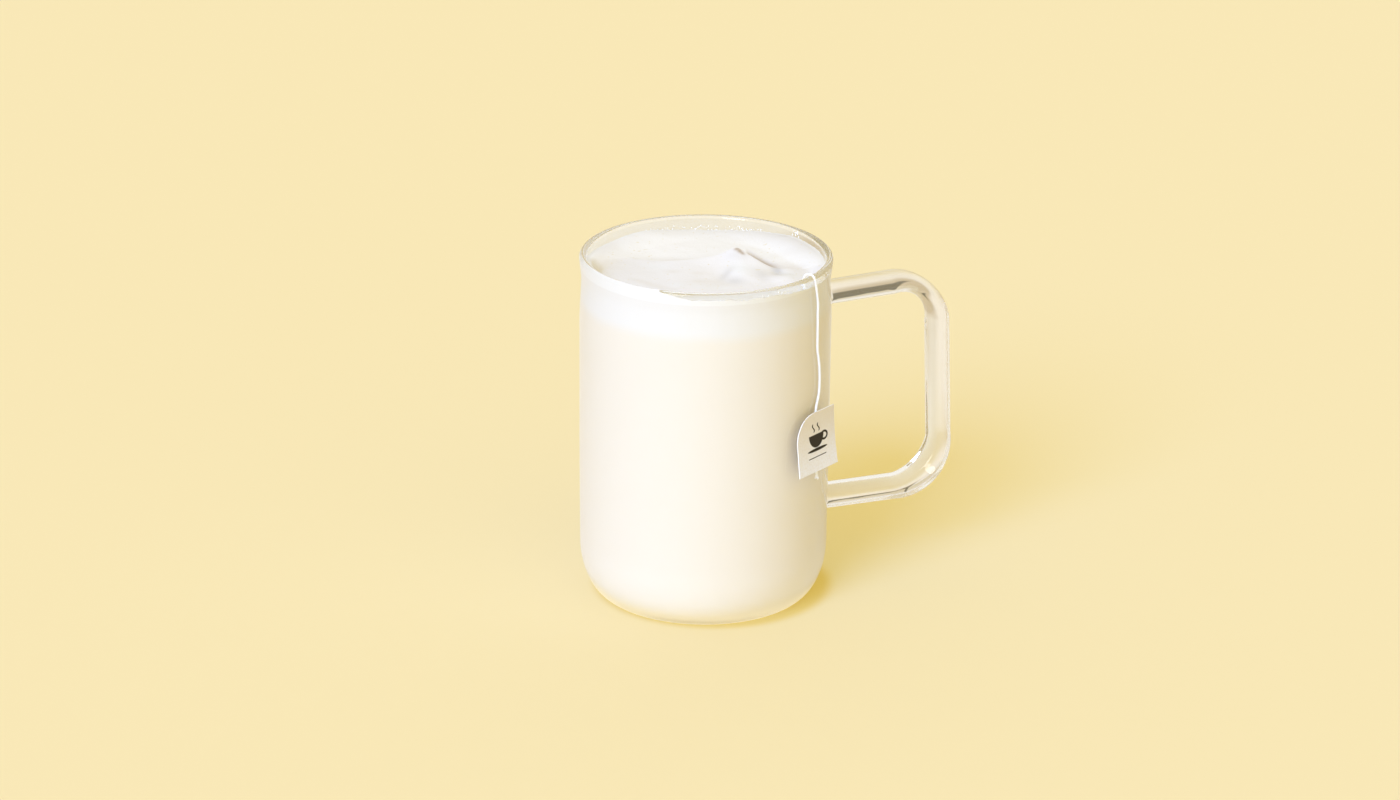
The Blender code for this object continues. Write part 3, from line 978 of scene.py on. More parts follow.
# %% The foam's shape
CREST = (
    (-0.0391, 0.0000, 0.0000), (-0.0280, 0.0098, 0.0000), (-0.0172, 0.0062, 0.0008),
    (-0.0120, 0.0040, 0.0013), (-0.0021, 0.0038, 0.0022), (0.0045, 0.0052, 0.0035),
    (0.0103, 0.0062, 0.0054), (0.0142, 0.0040, 0.0038), (0.0214, -0.0012, 0.0016),
    (0.0290, -0.0012, 0.0008), (0.0391, 0.0000, 0.0000),
)
CREST_FRONT = 0.0078
CREST_BACK = 0.0017
GROOVE_OFF = 0.0016
GROOVE_LAG = 2.5
GROOVE_WIDTH = 0.0036
GROOVE_DEPTH = 0.0007
SWELLS = (
    (0.0120, -0.0080, 0.0011, 0.0042), (0.0070, -0.0112, -0.0005, 0.0034),
    (0.0238, -0.0049, -0.0007, 0.0022), (0.0265, -0.0105, 0.0009, 0.0034),
    (-0.0060, -0.0060, 0.0007, 0.0060), (-0.0050, -0.0200, 0.0006, 0.0070),
    (-0.0230, -0.0080, 0.0004, 0.0070), (-0.0160, 0.0110, -0.0004, 0.0050),
    (0.0050, 0.0220, 0.0003, 0.0090),
)
CLIMB = (
    (-180.0, 0.0005), (-165.0, 0.0010), (-150.0, 0.0019), (-138.0, 0.0018), (-125.0, 0.0014),
    (-108.0, 0.0018), (-95.0, 0.0028), (-80.0, 0.0042), (-30.0, 0.0044), (-12.0, 0.0036),
    (0.0, 0.0027), (12.0, 0.0028), (27.0, 0.0026), (45.0, 0.0021), (60.0, 0.0014),
    (80.0, 0.0016), (95.0, 0.0022), (122.0, 0.0026), (131.0, 0.0028), (145.0, 0.0021),
    (154.0, 0.0017), (165.0, 0.0010), (180.0, 0.0005),
)
CLIMB_RAGS = 0.00045
CLIMB_FRONT = 0.0016
CLIMB_BACK = 0.0120
FRONT_SHAPE = 1.3
GROOVE_STARTS = (0.0130, 0.002)
GROOVE_THINS = (0.020, 0.006)
GROOVE_ENDS = (0.030, 0.006)
RAGS = ((13.0, 0.4, 0.5), (29.0, 2.1, 0.3), (53.0, 4.0, 0.2))
RAGS_AT = (15.0, 50.0)
CLIMB_WIDENS = (60.0, 60.0)


def through(stations, at):
    """The values of rows of (place, values...) at many places, on smooth curves through them."""
    rows = np.array(stations)
    rows = np.vstack([rows[:1], rows, rows[-1:]])
    low = np.clip(np.searchsorted(rows[1:-1, 0], at, side="left") - 1, 0, len(stations) - 2) + 1
    span = rows[low + 1, 0] - rows[low, 0]
    t = np.clip((at - rows[low, 0]) / span, 0.0, 1.0)
    made = []
    for k in range(1, rows.shape[1]):
        leave, arrive = (
            (rows[i + 1, k] - rows[i - 1, k]) / (rows[i + 1, 0] - rows[i - 1, 0]) * span
            for i in (low, low + 1)
        )
        rise = rows[low + 1, k] - rows[low, k]
        made.append(
            rows[low, k] + t * leave + t * t * (3 * rise - 2 * leave - arrive)
            + t ** 3 * (leave + arrive - 2 * rise)
        )
    return made


def fold_places(x, y):
    """How far along the fold's direction places of the mug lie, and how far behind its middle."""
    across = x * math.cos(FOLD_TURN) - y * math.sin(FOLD_TURN)
    back = x * math.sin(FOLD_TURN) + y * math.cos(FOLD_TURN)
    return across, back


def groove(across, back):
    """1 in the shallow cleft behind the fold's right part, 0 away from it."""
    crest_back, crest_height = through(CREST, across)
    middle = crest_back + GROOVE_OFF + GROOVE_LAG * crest_height
    along = passage(across, *GROOVE_STARTS) * (1.0 - 0.8 * passage(across, *GROOVE_THINS))
    return bell(back, middle, GROOVE_WIDTH) * along * (1.0 - passage(across, *GROOVE_ENDS))


def foam_swell(across, back):
    """How high the foam stands over its level away from the wall."""
    crest_back, crest_height = through(CREST, across)
    front = crest_back - back
    lift = np.where(
        front > 0.0,
        crest_height * np.exp(-((np.maximum(front, 0.0) / CREST_FRONT) ** FRONT_SHAPE)),
        crest_height * (1.0 - ease(-front / CREST_BACK)),
    )
    for swell_across, swell_back, height, width in SWELLS:
        away = (across - swell_across) ** 2 + (back - swell_back) ** 2
        lift = lift + height * np.exp(-away / (2.0 * width * width))
    return lift - GROOVE_DEPTH * groove(across, back)


def turn_at(x, y):
    """How many degrees right of the camera's side a place of the mug lies."""
    turn = np.degrees(np.arctan2(y, x)) + 90.0 - math.degrees(CAMERA_TURN)
    return np.remainder(turn + 180.0, 360.0) - 180.0


def foam_climb(turn):
    """How far the foam climbs the glass: most on the side left of the string."""
    rags = sum(np.sin(turn * math.radians(pace) + shift) * size for pace, shift, size in RAGS)
    return through(CLIMB, turn)[0] + rags * CLIMB_RAGS * bell(turn, *RAGS_AT)


def foam_near(x, y):
    """The turn of a place, and its share of the climb: 1 at the glass, 0 away from it."""
    turn = turn_at(x, y)
    width = CLIMB_FRONT + (CLIMB_BACK - CLIMB_FRONT) * passage(np.abs(turn), *CLIMB_WIDENS)
    return turn, ease(1.0 - (FOAM_EDGE - np.hypot(x, y)) / width)


def foam_height(x, y):
    """The height of the foam's top at places in the mug."""
    turn, near = foam_near(x, y)
    swell = foam_swell(*fold_places(x, y))
    return FOAM_LEVEL + swell * (1.0 - near) + foam_climb(turn) * near


highest_fold, highest_climb = (max(row[-1] for row in table) / MM for table in (CREST, CLIMB))
print(f"the fold is {highest_fold:.1f} mm high, and the foam climbs {highest_climb:.1f} mm")

# %% [markdown]
# A plain square grid would cross the fold anywhere and blunt its crest. So the grid's middle row
# runs along the crest, its rows crowd there, and its square outline is bent to the round wall.

# %% The foam's grid
FOAM_LINES = 110
ROW_CROWDING = 1.25


def both_ways(steps):
    """Distances from the middle, and the same ones on the other side of it."""
    steps = np.asarray(steps)
    return np.concatenate([-steps[:0:-1], steps])


def foam_grid(columns, rows):
    """Where the columns and rows of the grid meet: x and y in the mug."""
    u, v = np.meshgrid(columns, rows, indexing="ij")
    wide = np.abs(u) >= np.abs(v)
    first = np.where(wide, u, v)
    ratio = np.where(wide, v, u) / np.where(first == 0.0, 1.0, first)
    turn = math.pi / 4 * ratio
    across = np.where(wide, first * np.cos(turn), first * np.sin(turn))
    back = np.where(wide, first * np.sin(turn), first * np.cos(turn))
    wall = np.sqrt(np.maximum(FOAM_EDGE ** 2 - across ** 2, 1e-12))
    back = back + through(CREST, across)[0] * np.clip(1.0 - np.abs(back) / wall, 0.0, 1.0)
    x = across * math.cos(FOLD_TURN) + back * math.sin(FOLD_TURN)
    y = back * math.cos(FOLD_TURN) - across * math.sin(FOLD_TURN)
    return x, y


columns = both_ways(np.linspace(0.0, FOAM_EDGE, FOAM_LINES))
rows = both_ways(FOAM_EDGE * np.linspace(0.0, 1.0, FOAM_LINES) ** ROW_CROWDING)
foam_x, foam_y = foam_grid(columns, rows)
foam_z = foam_height(foam_x, foam_y)
print(f"foam top from {foam_z.min() * 1000:.2f} to {foam_z.max() * 1000:.2f} mm")

# %% [markdown]
# Milk foam is nearly white, and its shape shows as small changes of tone. Tea that came up with
# the milk colours it too. So each vertex will carry a tint for the finish to multiply by, and
# much of it is painted light and shade: a cool painted shade in front of the fold and a painted
# light behind it, a brown painted shadow in the cleft and its notch, painted shade along the
# rear wall, painted light at the left, and soft oval patches. Working the tints out at the
# vertices keeps the shader small, and the patches stay where they are listed.

# %% The foam's tints and painted shade
FRONT_OF_FOLD_PAINTED_SHADE = (1.008, 1.008, 1.030)
BEHIND_FOLD_PAINTED_LIGHT = (1.083, 1.092, 1.104)
CLEFT_PAINTED_SHADOW = (0.520, 0.410, 0.290)
HOLLOW_PAINTED_SHADE = (0.820, 0.815, 0.820)
BEIGE = (0.930, 0.905, 0.860)
PAINTED_HIGHLIGHT = (1.020, 1.050, 1.090)
# Each patch: its middle across and back, its length and width in millimetres, its turn, its colour
# and its share. The greys, the dark blue-grey dent and the pale grey one by the peak are painted
# shade, the brown ones a painted shadow in the notch, and the bright ones painted highlights on
# the mound and on lumps.
FOAM_PATCHES = (
    (-34.0, 4.0, 6.0, 14.0, 0.0, (0.950, 0.925, 0.870), 0.8),
    (-10.0, 8.5, 12.0, 3.0, -6.0, (0.960, 0.945, 0.915), 0.8),
    (6.0, 10.0, 7.0, 3.0, 8.0, (0.965, 0.950, 0.920), 0.6),
    (11.8, -5.0, 4.0, 4.6, 0.0, PAINTED_HIGHLIGHT, 0.9),
    (6.6, -8.0, 1.6, 4.6, -22.0, HOLLOW_PAINTED_SHADE, 0.8),
    (9.6, -13.2, 3.4, 2.6, -38.0, HOLLOW_PAINTED_SHADE, 0.8),
    (18.6, -8.6, 2.6, 4.2, 15.0, HOLLOW_PAINTED_SHADE, 0.6),
    (23.9, -3.4, 1.9, 3.8, 10.0, (0.680, 0.690, 0.730), 0.80),
    (27.5, -8.0, 3.2, 4.0, 30.0, PAINTED_HIGHLIGHT, 0.7),
    (9.5, 3.2, 4.5, 2.6, -10.0, (0.900, 0.895, 0.905), 0.85),
    (10.2, 5.6, 0.9, 0.7, 0.0, CLEFT_PAINTED_SHADOW, 0.85),
    (11.2, 4.7, 1.0, 0.8, -40.0, CLEFT_PAINTED_SHADOW, 0.90),
    (12.2, 3.9, 0.8, 0.6, -40.0, CLEFT_PAINTED_SHADOW, 0.80),
    (-22.0, -14.0, 6.0, 1.6, -38.0, BEIGE, 0.55),
    (-15.0, -20.0, 6.0, 1.6, -34.0, BEIGE, 0.5),
    (-11.0, -6.0, 3.0, 1.6, -10.0, BEIGE, 0.5),
    (-3.0, -8.0, 3.0, 1.4, 0.0, BEIGE, 0.5),
    (-2.0, -15.0, 5.0, 1.6, 10.0, BEIGE, 0.45),
    (-17.0, 0.0, 5.0, 3.0, -15.0, PAINTED_HIGHLIGHT, 0.5),
    (-9.6, -18.0, 2.4, 2.4, 0.0, PAINTED_HIGHLIGHT, 0.6),
    (-2.0, -20.5, 3.0, 2.2, 0.0, PAINTED_HIGHLIGHT, 0.6),
    (5.6, -20.5, 3.0, 2.2, 0.0, PAINTED_HIGHLIGHT, 0.6),
)
REAR_WALL_PAINTED_SHADE = (-0.055, -0.060, -0.065)
REAR_WALL_SHADE_TURNS = (95.0, 25.0)
RIGHT_WALL_PAINTED_SHADE = (-0.120, -0.135, -0.155)
RIGHT_WALL_SHADE_TURNS = (128.0, 34.0)
LEFT_WALL_PAINTED_LIGHT = (0.140, 0.175, 0.280)
LEFT_WALL_LIGHT_TURNS = (-95.0, 19.0)
FRONT_SHADE_PASSAGE = (-0.001, 0.002)


def toned(tint, colour, mask):
    """A tint with a colour laid over it where the mask is 1."""
    return tint + (np.array(colour) - tint) * mask[..., None]


def patch_mask(across, back, middle_across, middle_back, long, wide, turn):
    """A soft oval spot on the foam's top; its sizes are in millimetres."""
    lean = math.radians(turn)
    u, v = across - middle_across * MM, back - middle_back * MM
    u, v = u * math.cos(lean) + v * math.sin(lean), v * math.cos(lean) - u * math.sin(lean)
    return np.exp(-(u / (long * MM)) ** 2 - (v / (wide * MM)) ** 2)


def foam_tint_and_painted_shade(x, y):
    """What to multiply the foam's colour by at places of its top: tints with painted light and
    shade.
    """
    across, back = fold_places(x, y)
    # Painted shade in front of the fold and painted light behind it.
    behind = passage(back - through(CREST, across)[0], *FRONT_SHADE_PASSAGE)[..., None]
    tint = np.array(FRONT_OF_FOLD_PAINTED_SHADE) * (1.0 - behind) + np.array(BEHIND_FOLD_PAINTED_LIGHT) * behind
    for *oval, colour, share in FOAM_PATCHES:
        tint = toned(tint, colour, share * patch_mask(across, back, *oval))
    # A brown painted shadow in the cleft behind the fold's right part.
    tint = toned(tint, CLEFT_PAINTED_SHADOW, groove(across, back))
    turn, near = foam_near(x, y)
    # Painted shade along the rear wall, more on its right, and painted light at the left wall.
    for share, change in (
        (near * passage(np.abs(turn), *REAR_WALL_SHADE_TURNS), REAR_WALL_PAINTED_SHADE),
        (near * bell(turn, *RIGHT_WALL_SHADE_TURNS), RIGHT_WALL_PAINTED_SHADE),
        (np.clip(near * 2.0, 0.0, 1.0) * bell(turn, *LEFT_WALL_LIGHT_TURNS), LEFT_WALL_PAINTED_LIGHT),
    ):
        tint = tint * (1.0 + share[..., None] * np.array(change))
    return tint


print("foam patches", len(FOAM_PATCHES))

# %% [markdown]
# The grid becomes a closed piece: its border is carried down the wall and filled at the bottom.
# Small unevenness comes from noise, less of it by the wall, where the glass has smoothed it.

# %% The foam's mesh
LUMP = 0.00009
LUMP_SIZE = 0.0045
GRAIN = 0.00002
GRAIN_SIZE = 0.0009
CALM_WIDTH = 0.004
CALM_SHARE = 0.15
SKIRT_TOP = FOAM_LEVEL - 0.001
SKIRT_ROWS = 9


def foam_relief(x, y):
    """Low lumps and a fine grain at one place of the foam's top."""
    lump = noise.noise(Vector((x, y, 0.0)) / LUMP_SIZE)
    grain = noise.noise(Vector((x, y, 0.5)) / GRAIN_SIZE)
    calm = min((FOAM_EDGE - math.hypot(x, y)) / CALM_WIDTH, 1.0)
    return (lump * LUMP + grain * GRAIN) * max(calm, CALM_SHARE)


def against_wall(vertex, height):
    """Puts a vertex at a height, straight outwards from where it was, just inside the glass."""
    reach = (inner_radius(height) + INTO_WALL) / math.hypot(vertex.co.x, vertex.co.y)
    vertex.co = (vertex.co.x * reach, vertex.co.y * reach, height)


def foam_mesh():
    shell = bmesh.new()
    across, along = foam_x.shape
    grid = [
        [
            shell.verts.new((x, y, z + foam_relief(x, y)))
            for x, y, z in zip(foam_x[i], foam_y[i], foam_z[i])
        ]
        for i in range(across)
    ]
    for left, right in zip(grid, grid[1:]):
        for j in range(along - 1):
            shell.faces.new((left[j], right[j], right[j + 1], left[j + 1]))
    border = [*grid[0], *(row[-1] for row in grid[1:]), *reversed(grid[-1][:-1])]
    border += [row[0] for row in reversed(grid[1:-1])]
    for vertex in border:
        against_wall(vertex, vertex.co.z)
    for height in np.linspace(SKIRT_TOP, FOAM_BOTTOM, SKIRT_ROWS):
        lower = [shell.verts.new(vertex.co) for vertex in border]
        for k, vertex in enumerate(lower):
            against_wall(vertex, height)
            shell.faces.new((border[k - 1], border[k], vertex, lower[k - 1]))
        border = lower
    shell.faces.new(border)
    bmesh.ops.recalc_face_normals(shell, faces=shell.faces)
    return from_shell("foam_top", shell)


foam_top = foam_mesh()
foam_top.data.shade_smooth()
foam_top.data.set_sharp_from_angle(angle=DRINK_SHARP)
outward(foam_top)

# %% [markdown]
# The foam's finish takes the drink's colour and multiplies it by the painted tint, with its
# painted light and shade. Where the foam meets the glass a thin smear is left on the wall, and a
# painted light makes it paler and cooler than the foam below it; the mesh marks that wall with a
# number of its own. A few specks of tea lie on top, and a fine bump gives the grain of bubbles
# that are too small to model.

# %% The foam's finish
SMEAR_PAINTED_LIGHT = (1.050, 1.066, 1.085)
SMEAR_LOW = 0.1160
SMEAR_PASSAGE = 0.0004
WALL_PASSAGE = 0.0006
SPECK = (0.90, 0.80, 0.52)
SPECK_SCALE = 1100.0
SPECK_LEVELS = (0.77, 0.83)
SPECK_SHARE = 0.7
BUBBLE_SCALE = 1500.0
BUBBLE_LEVELS = (0.1, 0.6)
BUBBLE_GRAIN_SCALE = 1400.0


def paint(item, name, colours):
    """Stores one colour for each vertex of an object's mesh."""
    layer = item.data.attributes.new(name, "FLOAT_COLOR", "POINT")
    rows = np.ones((len(item.data.vertices), 4), dtype=np.float32)
    rows[:, :3] = colours
    layer.data.foreach_set("color", rows.ravel())


def foam_finish():
    """Fine milk foam: warm white, tinted in soft patches with painted light and shade, with a
    grain of tiny bubbles.
    """
    material, tree, shader, where, colour = milk_finish("milk_foam", 0.6, 0.25)
    # The vertex tint brings the foam's painted light and shade.
    painted = add_node(tree, "ShaderNodeAttribute", attribute_name="tint").out("Color")
    wall = add_node(tree, "ShaderNodeAttribute", attribute_name="wall").out("Fac")
    # The smear on the wall gets a painted light: paler and cooler than the foam.
    strip = height_of(where).ease(SMEAR_LOW, SMEAR_LOW + SMEAR_PASSAGE) * wall
    smeared = mix_colours(strip, painted, SMEAR_PAINTED_LIGHT)
    specks = noise_field(where, SPECK_SCALE, 0.0).ease(*SPECK_LEVELS) * (1.0 - wall) * SPECK_SHARE
    tinted = add_node(
        tree, "ShaderNodeMix",
        {0: 1.0, 6: colour, 7: mix_colours(specks, smeared, SPECK)}, 2,
        data_type="RGBA", blend_type="MULTIPLY",
    )
    feed(tinted, shader.inputs["Base Color"])
    bubbles = add_node(
        tree, "ShaderNodeTexVoronoi", {"Vector": where, "Scale": BUBBLE_SCALE}, feature="F1"
    )
    grain = noise_field(where, BUBBLE_GRAIN_SCALE, 3.0)
    roughen(shader, grain * 0.5 + bubbles.ease(*BUBBLE_LEVELS) * 0.5, 0.22, 0.00012)
    return material


foam_top.data.materials.append(foam_finish())
foam_spots = np.array([vertex.co[:] for vertex in foam_top.data.vertices])
spot_x, spot_y = foam_spots[:, 0], foam_spots[:, 1]
at_wall = passage(np.hypot(spot_x, spot_y), FOAM_EDGE - WALL_PASSAGE, WALL_PASSAGE)
# The tint with its painted light and shade, left plain at the wall.
paint(foam_top, "tint", toned(foam_tint_and_painted_shade(spot_x, spot_y), (1.0, 1.0, 1.0), at_wall))
with_values(foam_top, {"wall": at_wall})
print("foam vertices against the wall", int((at_wall > 0.5).sum()))

# %% [markdown]
# A little foam clings to the glass above the drink: blobs and small bubbles that stayed when the
# cup moved. Each is one small ball pressed flat on the wall, so one ball is copied to many points
# by Geometry Nodes. The ball has only 40 faces, because it is copied hundreds of times and each
# copy is seen as a dot. Numpy chooses the points with a fixed seed, group by group, because the
# foam clings in a few places and not evenly.

# %% Foam left on the glass
BLOB_COLOUR = (0.86, 0.85, 0.82)
BLOB_FLATNESS = 0.45
BLOB_SEGMENTS = 8
BLOB_RINGS = 5
CLINGING = (
    (27.0, 41.0, 0.1180, 0.1187, 8, 0.00022, 0.00042),
    (41.0, 58.0, 0.1170, 0.1184, 26, 0.00008, 0.00018),
    (-14.0, 26.0, 0.1176, 0.1181, 40, 0.00010, 0.00024),
    (-62.0, -20.0, 0.1190, 0.1197, 22, 0.00010, 0.00020),
    (150.0, 215.0, 0.1159, 0.1176, 90, 0.00010, 0.00030),
    (128.5, 134.0, 0.1184, 0.1203, 14, 0.00018, 0.00040),
)


def clinging_points():
    """Places on the wall's inside with the turn and the size of the blob at each."""
    chance = np.random.default_rng(7)
    places, turns, sizes = [], [], []
    for first, last, low, high, count, small, large in CLINGING:
        turned = np.radians(chance.uniform(first, last, count)) + CAMERA_TURN - math.pi / 2
        heights = low + (high - low) * chance.uniform(0.0, 1.0, count) ** 1.5
        for turn, height in zip(turned, heights):
            radius = inner_radius(height)
            places.append((radius * math.cos(turn), radius * math.sin(turn), height))
            turns.append(turn)
        sizes.extend(chance.uniform(small, large, count))
    return places, turns, sizes


def blob_tree(material):
    tree, given = new_shaper("clinging_foam", Flatness="Float")
    ball = add_node(
        tree, "GeometryNodeMeshUVSphere",
        {"Radius": 1.0, "Segments": BLOB_SEGMENTS, "Rings": BLOB_RINGS},
    )
    flat = vector_of(tree, X=given["Flatness"], Y=1.0, Z=1.0)
    copies = add_node(tree, "GeometryNodeInstanceOnPoints", {
        "Points": add_node(tree, "GeometryNodeMeshToPoints", {"Mesh": given["Geometry"]}),
        "Instance": add_node(tree, "GeometryNodeTransform", {"Geometry": ball, "Scale": flat}),
        "Scale": stored(tree, "size"),
        "Rotation": vector_of(tree, Z=stored(tree, "turn")),
    })
    end_shaper(copies, material)
    return tree


cling_places, cling_turns, cling_sizes = clinging_points()
cling_points = with_values(
    plain_mesh("cling_points", cling_places), {"turn": cling_turns, "size": cling_sizes}
)
blob_material, _, _ = new_finish(
    "clinging_foam", Base_Color=BLOB_COLOUR, Roughness=0.5, Specular_IOR_Level=0.3,
)
clinging = shaped(
    "clinging_foam", cling_points, blob_tree(blob_material), {"Flatness": BLOB_FLATNESS}
)
clinging.data.shade_smooth()
print("clinging blobs", len(cling_places), "faces", len(clinging.data.polygons))

# %% [markdown]
# The tag is a square of card with one round corner. Its grid has rows that crowd towards the
# round corner, and Solidify gives the card its thickness, with a second material on the cut rim,
# where white card shows between its printed faces.

# %% The card tag
CARD_COLUMNS = 24
CARD_ROWS = 14
CORNER_ROWS = 20
CARD_BOW = 0.0004


def card_surface(x, y):
    """The place on the bowed card of a point given by its distances right and up."""
    centre, right, up, out = tag_axes()
    bow = CARD_BOW * ((2.0 * y / TAG_HEIGHT) ** 2 - 0.4) * (0.6 + x / TAG_WIDTH)
    return centre + right * x + up * y + out * bow


def tag_rows():
    """Heights up the card, with the left end of each row."""
    half_width, half_height = TAG_WIDTH / 2, TAG_HEIGHT / 2
    corner = half_height - TAG_CORNER
    rows = [(y, -half_width) for y in np.linspace(-half_height, corner, CARD_ROWS)[:-1]]
    for angle in np.linspace(0.0, math.pi / 2, CORNER_ROWS):
        rows.append((
            corner + TAG_CORNER * math.sin(angle),
            -half_width + TAG_CORNER * (1.0 - math.cos(angle)),
        ))
    return rows


def tag_mesh():
    rows = tag_rows()
    half = TAG_WIDTH / 2
    points, places = [], []
    for y, left in rows:
        for x in np.linspace(left, half, CARD_COLUMNS + 1):
            points.append(card_surface(x, y))
            places.append((x / TAG_WIDTH + 0.5, y / TAG_HEIGHT + 0.5))
    wide = CARD_COLUMNS + 1
    faces = [
        (r * wide + c, r * wide + c + 1, (r + 1) * wide + c + 1, (r + 1) * wide + c)
        for r in range(len(rows) - 1)
        for c in range(CARD_COLUMNS)
    ]
    card = plain_mesh("tag_sheet", points, (), faces)
    layer = card.data.uv_layers.new(name="UVMap")
    for loop in card.data.loops:
        layer.data[loop.index].uv = places[loop.vertex_index]
    thick = card.modifiers.new("Card thickness", "SOLIDIFY")
    thick.thickness = TAG_THICKNESS
    thick.offset = 0.0
    thick.material_offset_rim = 1
    return card


tag_sheet = tag_mesh()
print("card faces before it is thickened", len(tag_sheet.data.polygons))

# %% [markdown]
# The print is worked out in the shader, from the card's own UV map, in millimetres from its
# middle. It is a sum of plain shapes with slightly soft edges: a cup with a handle on its saucer,
# two wisps of steam and a line below. Card is matt, with fine fibres in its colour and its relief.

# %% The card's print
CARD_LOW = (0.79, 0.79, 0.84)
CARD_HIGH = (0.71, 0.65, 0.56)
CARD_FLECK = (0.66, 0.58, 0.46)
CORE_DULL = (0.84, 0.82, 0.77)
CORE_BRIGHT = (0.93, 0.91, 0.87)
INK = (0.030, 0.022, 0.012)
PRINT_EDGE = (-0.06, 0.06)
BOWL = ((0.0, 2.6), (3.9, 4.6))
EAR, EAR_OUTSIDE, EAR_INSIDE = (4.1, 1.2), (2.0, 1.7), (1.2, 0.95)
SAUCER = ((0.2, -2.7), (5.2, 0.55))
STEAM_OFFSETS = (-1.3, 1.3)
STEAM_HEIGHTS = (3.5, 6.4)
STEAM_HALF = 0.28
SWAY_FROM, SWAY_PACE, SWAY = 3.3, 1.9, 0.45
RULE_DOWN, RULE_LONG, RULE_HALF = 5.2, 4.6, 0.16
RULE_EDGE = (-0.05, 0.05)


def disc(x, y, centre, radii, soft):
    """1 inside an ellipse and 0 outside it, with a soft edge, for places x and y."""
    away = (((x - centre[0]) / radii[0]) ** 2 + ((y - centre[1]) / radii[1]) ** 2).root()
    return (1.0 - away).ease(-soft, soft)


def cup_print(x, y):
    """The printed cup, in millimetres from the card's middle: 1 where there is ink."""
    bowl = disc(x, y, *BOWL, 0.03) * (BOWL[0][1] - y).ease(*PRINT_EDGE)
    ring = disc(x, y, EAR, EAR_OUTSIDE, 0.05) - disc(x, y, EAR, EAR_INSIDE, 0.07)
    saucer = disc(x, y, *SAUCER, 0.06)
    low, high = STEAM_HEIGHTS
    steam = 0.0
    for offset in STEAM_OFFSETS:
        wave = abs(x - offset - ((y - SWAY_FROM) * SWAY_PACE).sine() * SWAY)
        stroke = (STEAM_HALF - wave).ease(*PRINT_EDGE)
        steam = stroke * (y - low).ease(*PRINT_EDGE) * (high - y).ease(*PRINT_EDGE) + steam
    rule = (RULE_HALF - abs(y + RULE_DOWN)).ease(*RULE_EDGE)
    rule = rule * (RULE_LONG - abs(x)).ease(*RULE_EDGE)
    return (bowl.most(ring) + saucer + steam + rule).clamped()


def card_finish():
    material, tree, shader = new_finish(
        "tag_card", Roughness=0.75, Specular_IOR_Level=0.3, Subsurface_Weight=0.15,
        Subsurface_Radius=(1.0, 0.9, 0.8), Subsurface_Scale=0.0005,
    )
    spot = parts_of(add_node(tree, "ShaderNodeTexCoord").out("UV"))
    x = (spot - 0.5) * (TAG_WIDTH / MM)
    y = (spot.out("Y") - 0.5) * (TAG_HEIGHT / MM)
    fibres = noise_field(object_place(tree), 1800.0, 4.0)
    card = mix_colours(spot.out("Y").ease(0.0, 1.0), CARD_LOW, CARD_HIGH)
    flecked = mix_colours(fibres.ease(0.35, 0.75) * 0.35, card, CARD_FLECK)
    feed(mix_colours(cup_print(x, y), flecked, INK), shader.inputs["Base Color"])
    roughen(shader, fibres, 0.25, 0.00005)
    return material


def card_core_finish():
    material, tree, shader = new_finish("card_core", Roughness=0.85, Specular_IOR_Level=0.2)
    fibres = noise_field(object_place(tree), 2500.0, 3.0)
    feed(mix_colours(fibres, CORE_DULL, CORE_BRIGHT), shader.inputs["Base Color"])
    return material


tag_sheet.data.materials.append(card_finish())
tag_sheet.data.materials.append(card_core_finish())
tag_piece = outward(baked("tag_piece", tag_sheet))
tag_piece.data.shade_flat()

# %% [markdown]
# Every piece, the string with its tag and its cut end too, rides on the object's one body, and
# the imported parts that it replaces are hidden.

# %% Ride and replace
settle(glass_body, "clear_glass", "glass_mug")
settle(tea_fill, "milky_tea", "milk_tea")
settle(foam_top, "milk_foam", "milk_foam")
settle(clinging, "milk_foam")
settle(string_piece, "cotton_string", "tea_string")
settle(fray, "cotton_string")
settle(tag_piece, "tag_card", "paper_tag")
print("pieces placed")

# %% [markdown]
# The set is a plain pale floor, a large disc whose edge is out of sight, and it is stage: not
# part of the object. Clear glass shows what is round it, so the floor's colour matters twice. The
# camera sees pale yellow paper, with a painted shadow just round the foot: a deeper yellow in a
# soft disc, where the mug keeps the light off. Light that bounces, and what the glass bends and
# mirrors, finds the same paper with painted light and shade: paler near the mug and tan further
# out, as a sheet of paper on a table in a dim room is, a painted shadow under the foot, and far
# behind the handle a dark strip for the rod to bend into its outlines. A little light of its own
# keeps the paper pale right up to the foot, and a faint glow right of the mug, seen only through
# the glass, lifts the mug's shadow there.

# %% Floor
PAPER_COLOUR = (0.575, 0.503, 0.374)
PAPER_GLOW = (0.300, 0.240, 0.055)
CONTACT_SHADOW_COLOUR = (0.525, 0.418, 0.185)
CONTACT_SHADOW_GLOW = (0.274, 0.198, 0.027)
CONTACT_SHADOW_MIDDLE = TO_RIGHT * 0.0033 + TO_BACK * 0.0042
CONTACT_SHADOW_EDGE = (0.0375, 0.0435)
PAPER_BOUNCE = (0.800, 0.730, 0.600)
WHITE_BOUNCE = (0.890, 0.810, 0.670)
WHITE_RIGHT = (0.03, 0.12)
TAN_BOUNCE = (0.700, 0.590, 0.410)
TAN_RIGHT = (0.14, 0.26)
TAN_LEFT = (0.10, 0.26)
FAR_WHITE = (0.800, 0.730, 0.610)
FAR_TAN = (0.600, 0.490, 0.325)
FAR_RIGHT = (0.03, 0.06)
FAR_BEHIND = (0.25, 0.34)
FOOT_SHADOW_BOUNCE = (0.760, 0.650, 0.400)
FOOT_SHADOW_REACH = (0.041, 0.048)
FOOT_GLOW = (0.440, 0.410, 0.320)
GLOW_EDGE = (0.034, 0.046)
BENT_GLOW = (0.080, 0.100, 0.110)
BENT_RIGHT = (0.02, 0.06)
